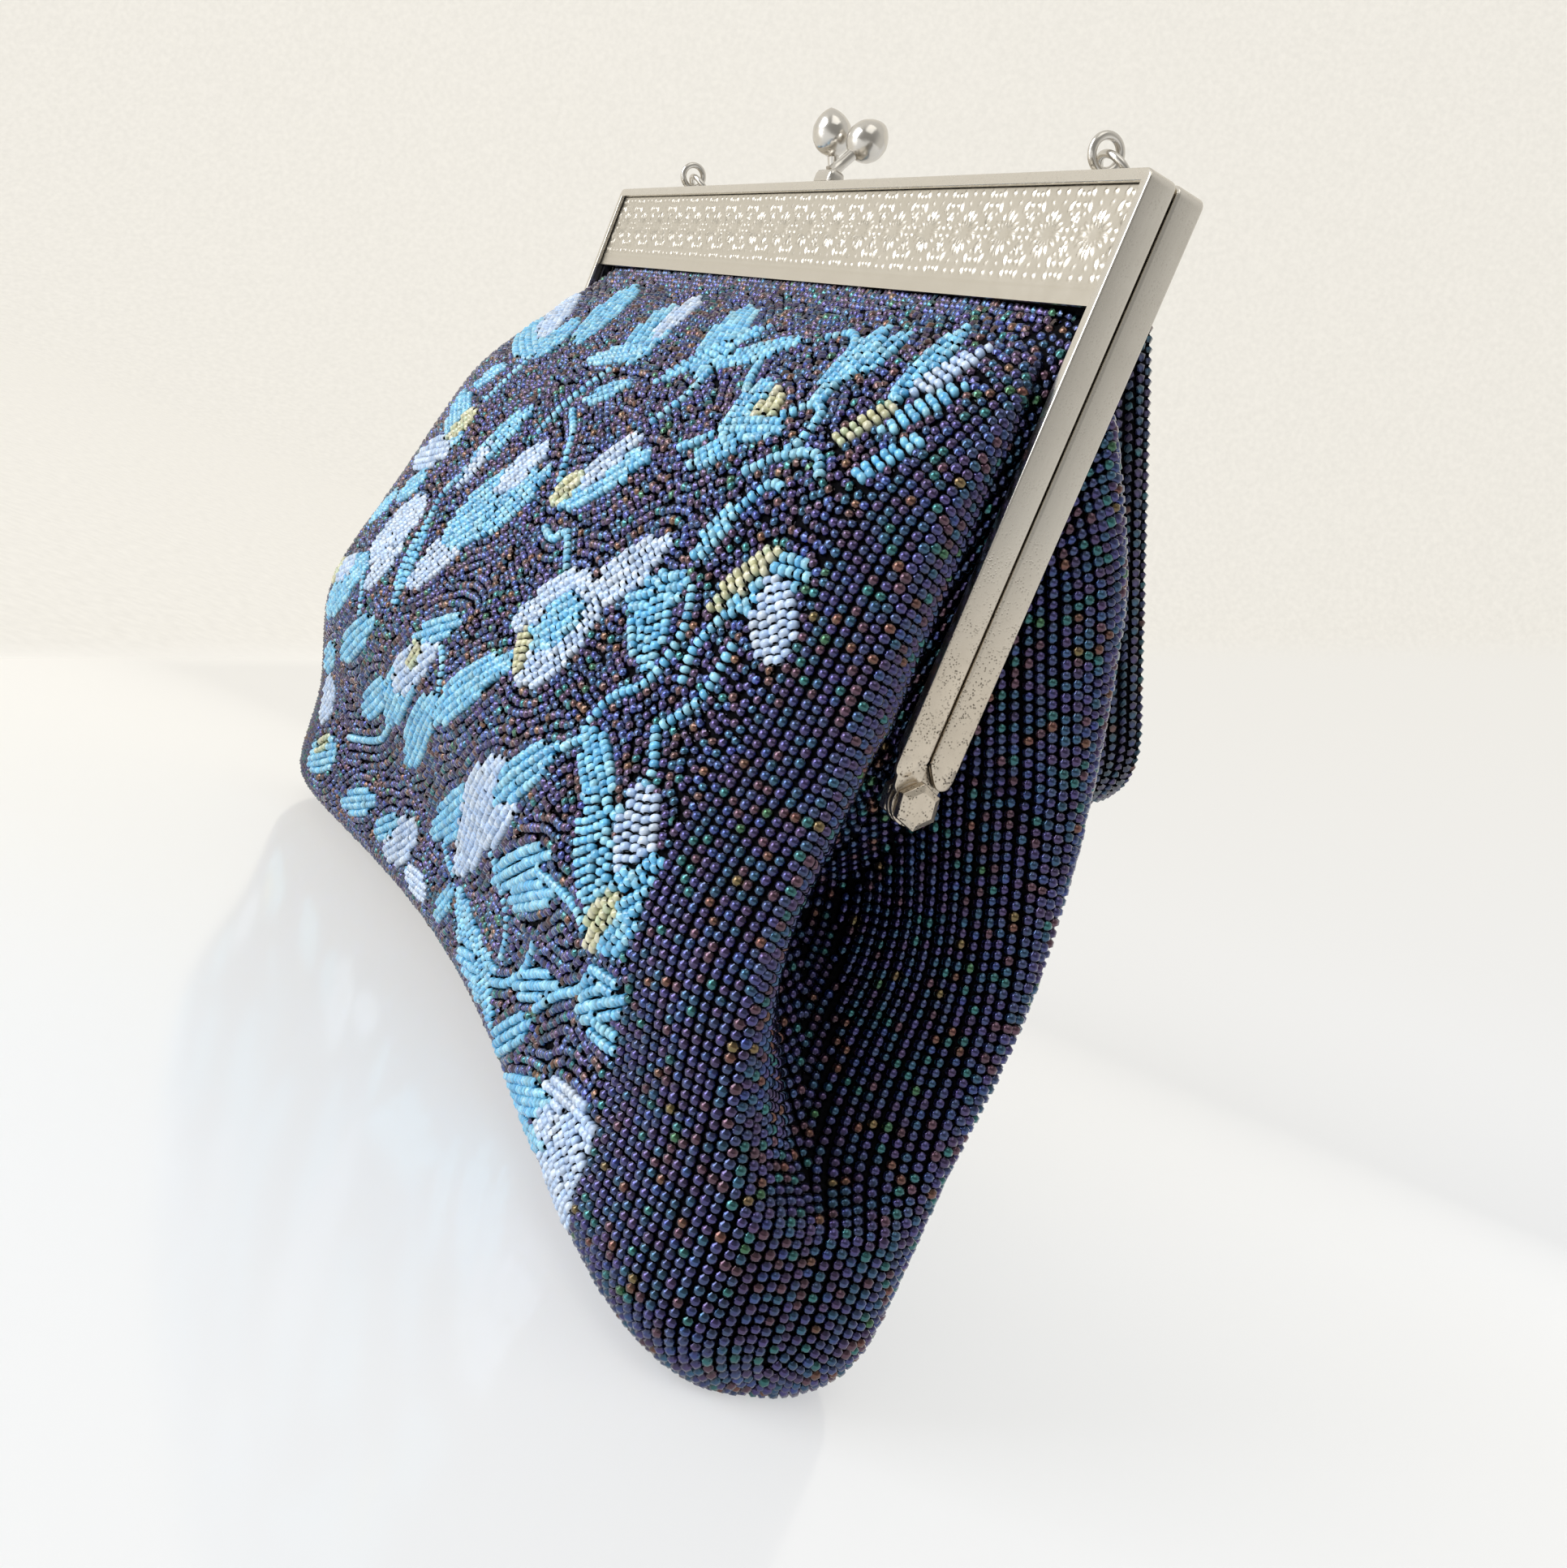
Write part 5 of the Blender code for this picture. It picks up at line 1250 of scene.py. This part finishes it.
def placeBeads(name, side, at, run, colors, material, sides, rounded, size, rise=0.0, loose=0.0):
    # Beads sit half their width below the face, each a little higher or lower than the next, and bulge below
    # the plate. Loosely sewn ones are out of line by about that much, and lean.
    face = faces[side]
    b = beadSizes
    at = at + rng.normal(0, 1, at.shape) * loose / mapping["step"]
    normals = unit(sampleGrid(face["normals"], at))
    below = at[:, :1] * mapping["step"] - b["hemT"]
    out = np.abs(at[:, 1:] * mapping["step"] - mapping["half"])
    beside = np.clip((b["faceEnd"] - out) / b["hemFade"], 0, 1)
    bulge = b["hemRise"] * np.clip(1 - below / b["hemRows"], 0, 1) * beside
    depth = b["width"] / 2 - rise - bulge + rng.uniform(*b["unevenDepth"], (len(at), 1))
    centers = sampleGrid(face["points"], at) - normals * depth
    run = unit(run) + rng.normal(0, b["tilt"] + b["tiltPerLoose"] * loose, run.shape)
    most = b["mostTriangles"] // (len(beadProfiles[rounded]) * 2 * sides - 4)
    pieces = int(math.ceil(len(at) / most))
    # Which painted shade round the thread holes these beads get
    hole = "dark" if material == irisGlass else "pale"
    for number, part in enumerate(np.array_split(np.arange(len(at)), pieces), 1):
        values = (array[part] for array in (centers, run, normals, colors))
        each = name if pieces == 1 else f"{name}_{number}"
        piece, perBead = beadMesh(each, *values, material, sides, rounded, *size, hole)
        if side < 0:
            openWith(piece, centers[part])
        else:
            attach(piece, "bag")
    return len(at)


total = 0
faceSize = beadSizes["faceWidth"], beadSizes["faceLength"]
stringSize = beadSizes["width"], beadSizes["length"]
# Colours, glass, how far the beads stand proud and how loosely they are sewn. The far sides have plainer beads.
layers = {"ground": ("faceIris", irisGlass, 0.0, beadSizes["groundLoose"])}
for name in ("sky", "pearl", "cream"):
    layers[name] = (name, lustreGlass, beadSizes["petalRise"], beadSizes["petalLoose"])
for side, word in ((-1, "front"), (1, "back")):
    near = side < 0
    at, run, kind = layDesign(side)
    print(word, "face beads", len(at))
    for name, (colors, glass, rise, loose) in layers.items():
        some = kind == name
        colors = pickColors(colors, some.sum())
        total += placeBeads(f"{word}_{name}_beads", side, at[some], run[some], colors, glass,
                            7 if near else 6, near, faceSize, rise, loose)
    for hand, end in ((-1, "left"), (1, "right")):
        at, run = layStrings(side, hand)
        colors = pickColors("iris", len(at))
        total += placeBeads(f"{word}_{end}_gusset_strings", side, at, run, colors, irisGlass,
                            8 if hand > 0 else 6, hand > 0, stringSize)
print("beads on the pouch", total)

for name in ("front_channel_cord", "back_channel_cord"):
    nodes[name].data.materials.clear()
    nodes[name].data.materials.append(paperCord)


# Studio: a pale glossy table before a cream papered wall. The bag was photographed leaning back, so that in its
# own frame the wall begins along a slanting line, worked out from where the picture was taken.
view = {"eye": (0.25622, -0.118865, 0.097544), "right": (0.41031853, 0.82807783, 0.38200236),
        "down": (0.30863001, 0.26807617, -0.91262406), "ahead": (-0.85812949, 0.49236396, -0.14557305),
        "lens": 36.42, "clip": (0.01, 20)}
# Each of even, glow and shine: near the bag, far out on the table, on the wall, where far out begins and ends.
# The floor is flat from its start to its turn, then a quarter circle, then upright to its top.
studio = {
    "even": (0.50, 0.93, 0.85, -0.05, 0.45), "glow": (0.57, 0.94, 0.84, -0.05, 0.45),
    "shine": (0.45, 0.0, 0.05, -0.06, 0.15), "rough": (0.13, 0.9), "wallStart": 0.085, "blend": 0.012,
    "warmStart": -0.3, "inFront": (0.15, 0.30), "table": "#F3F4F5", "tableFar": "#F1EEE7", "wall": "#F6F2E9",
    "ahead": (-0.867, 0.498, 0.0), "sideways": (0.498, 0.867, 0.0), "start": -1.6, "turn": 0.9, "radius": 0.35,
    "top": 2.6, "halfWide": 3.2, "below": 0.0001,
}

paleTable, tree, shader, place = newMaterial("glossy white table and cream papered wall", {})
seen = addNode(tree, "VectorMath", {"operation": "SUBTRACT", 0: place, 1: view["eye"]})
rise, far, along = (
    addNode(tree, "VectorMath", {"operation": "DOT_PRODUCT", 0: where, 1: toward})
    for where, toward in ((seen, [-v for v in view["down"]]), (seen, view["ahead"]), (place, studio["ahead"]))
)
slope = addNode(tree, "Math", {"operation": "DIVIDE", 0: rise, 1: far})
# Neither the wall nor the table's warmer far end reaches round behind the place the picture was taken from
low, high = studio["inFront"]
inFront = addNode(tree, "MapRange", {
    "interpolation_type": "SMOOTHSTEP", "Value": far, "From Min": low, "From Max": high})
masks = []
for kind, low, high in (
    ("SMOOTHSTEP", studio["wallStart"] - studio["blend"], studio["wallStart"] + studio["blend"]),
    ("LINEAR", studio["warmStart"], studio["wallStart"]),
):
    mask = addNode(tree, "MapRange", {
        "interpolation_type": kind, "Value": slope, "From Min": low, "From Max": high})
    masks.append(addNode(tree, "Math", {"operation": "MULTIPLY", 0: mask, 1: inFront}))
beyond, nearer = masks
table = addNode(tree, "Mix", {
    "data_type": "RGBA", "Factor": nearer, "A": studio["table"], "B": studio["tableFar"]})
grain = addNode(tree, "TexNoise", {"Vector": place, "Scale": 220.0, "Detail": 3.0})
mottle = addNode(tree, "MapRange", {
    "Value": grain, "From Min": 0.3, "From Max": 0.7, "To Min": 0.965, "To Max": 1.03})
paper = addNode(tree, "HueSaturation", {"Color": studio["wall"], "Value": mottle})
color = addNode(tree, "Mix", {"data_type": "RGBA", "Factor": beyond, "A": table, "B": paper})
levels = []
for near, far, wall, begins, ends in (studio["even"], studio["glow"], studio["shine"]):
    onTable = addNode(tree, "MapRange", {
        "interpolation_type": "SMOOTHSTEP", "Value": along, "From Min": begins, "From Max": ends,
        "To Min": near, "To Max": far})
    levels.append(addNode(tree, "MapRange", {"Value": beyond, "To Min": onTable, "To Max": wall}))
even, glow, shine = levels
# Rays from the camera and from mirrors meet it partly as an even colour and partly as it is lit, with shadows
path = addNode(tree, "LightPath")
direct = path.outputs["Is Camera Ray"]
for ray in ("Is Glossy Ray", "Is Transmission Ray"):
    direct = addNode(tree, "Math", {"operation": "MAXIMUM", 0: direct, 1: path.outputs[ray]})
lift, evened = (addNode(tree, "Math", {"operation": "MULTIPLY", 0: direct, 1: level}) for level in (glow, even))
kept = addNode(tree, "Math", {"operation": "SUBTRACT", 0: 1.0, 1: evened})
feed(tree, shader, {
    "Base Color": addNode(tree, "Mix", {"data_type": "RGBA", "Factor": kept, "A": "#000000", "B": color}),
    "Roughness": addNode(tree, "MapRange", {
        "Value": beyond, "To Min": studio["rough"][0], "To Max": studio["rough"][1]}),
    "Specular IOR Level": shine, "Emission Color": color, "Emission Strength": lift,
})

# A flat floor, then a quarter circle, then an upright wall, carried sideways
turn, radius = np.linspace(0, np.pi / 2, 24), studio["radius"]
curve = np.column_stack([studio["turn"] + radius * np.sin(turn), radius - radius * np.cos(turn)])
curve = np.concatenate([[(studio["start"], 0)], curve, [(studio["turn"] + radius, studio["top"])]])
line = np.outer(curve[:, 0], studio["ahead"]) + np.outer(curve[:, 1], (0, 0, 1))
sideways = np.array(studio["sideways"]) * studio["halfWide"]
points = np.stack([line - sideways, line + sideways], 1)
points[..., 2] -= studio["below"]
floor = makePiece("studio_floor", points, gridFaces(len(line), 2), paleTable, 30, recalculate=False)

# The room is bright on the window's side, even elsewhere and dim where the photographer stood, so that beads
# and metal have something to mirror. Each: towards where, from and to what nearness, from and to what level.
room = {"bright": ((-0.75, -0.62, 0.20), -0.2, 0.85, 0.76, 0.84),
        "dim": ((0.86, -0.49, 0.15), 0.2, 0.8, 0.0, 0.42)}
world = bpy.data.worlds.new("soft studio")
bpy.context.scene.world = world
world.use_nodes = True
tree = world.node_tree
around = addNode(tree, "TexCoord").outputs["Generated"]
levels = []
for toward, begins, ends, low, high in (room["bright"], room["dim"]):
    nearness = addNode(tree, "VectorMath", {"operation": "DOT_PRODUCT", 0: around, 1: toward})
    levels.append(addNode(tree, "MapRange", {
        "interpolation_type": "SMOOTHSTEP", "Value": nearness, "From Min": begins, "From Max": ends,
        "To Min": low, "To Max": high}))
level = addNode(tree, "Math", {"operation": "SUBTRACT", 0: levels[0], 1: levels[1]})
tint = addNode(tree, "Mix", {"data_type": "RGBA", "Factor": level, "A": "#000000", "B": "#F8F6F1"})
feed(tree, tree.nodes["Background"], {"Color": tint, "Strength": 1.0})


def softbox(name, place, target, size, power, color):
    light = bpy.data.lights.new(name, "AREA")
    light.shape, light.size, light.size_y = "RECTANGLE", *size
    light.energy, light.color = power, linear(color)
    made = addObject(name, light)
    made.visible_camera = False
    made.location = place
    made.rotation_mode = "QUATERNION"
    made.rotation_quaternion = (Vector(target) - Vector(place)).to_track_quat("-Z", "Y")


softbox("window_light", (-0.17, -1.35, 0.57), (0.0, 0.0, 0.08), (0.8, 0.9), 14.0, "#F6F9FF")
softbox("room_lamp", (0.55, -0.35, 1.25), (0.0, 0.0, 0.05), (0.8, 0.8), 2.0, "#FFFEFA")

# Camera: where and how the photograph was taken
lens = bpy.data.cameras.new("camera")
lens.lens, lens.sensor_width, lens.sensor_fit = view["lens"], 36.0, "HORIZONTAL"
lens.clip_start, lens.clip_end = view["clip"]
camera = addObject("camera", lens)
turn = Matrix([[view["right"][k], -view["down"][k], -view["ahead"][k]] for k in range(3)])
camera.matrix_world = Matrix.Translation(view["eye"]) @ turn.to_4x4()
bpy.context.scene.camera = camera
bpy.context.scene.view_settings.view_transform = "Standard"
print("studio, lamps and camera made")
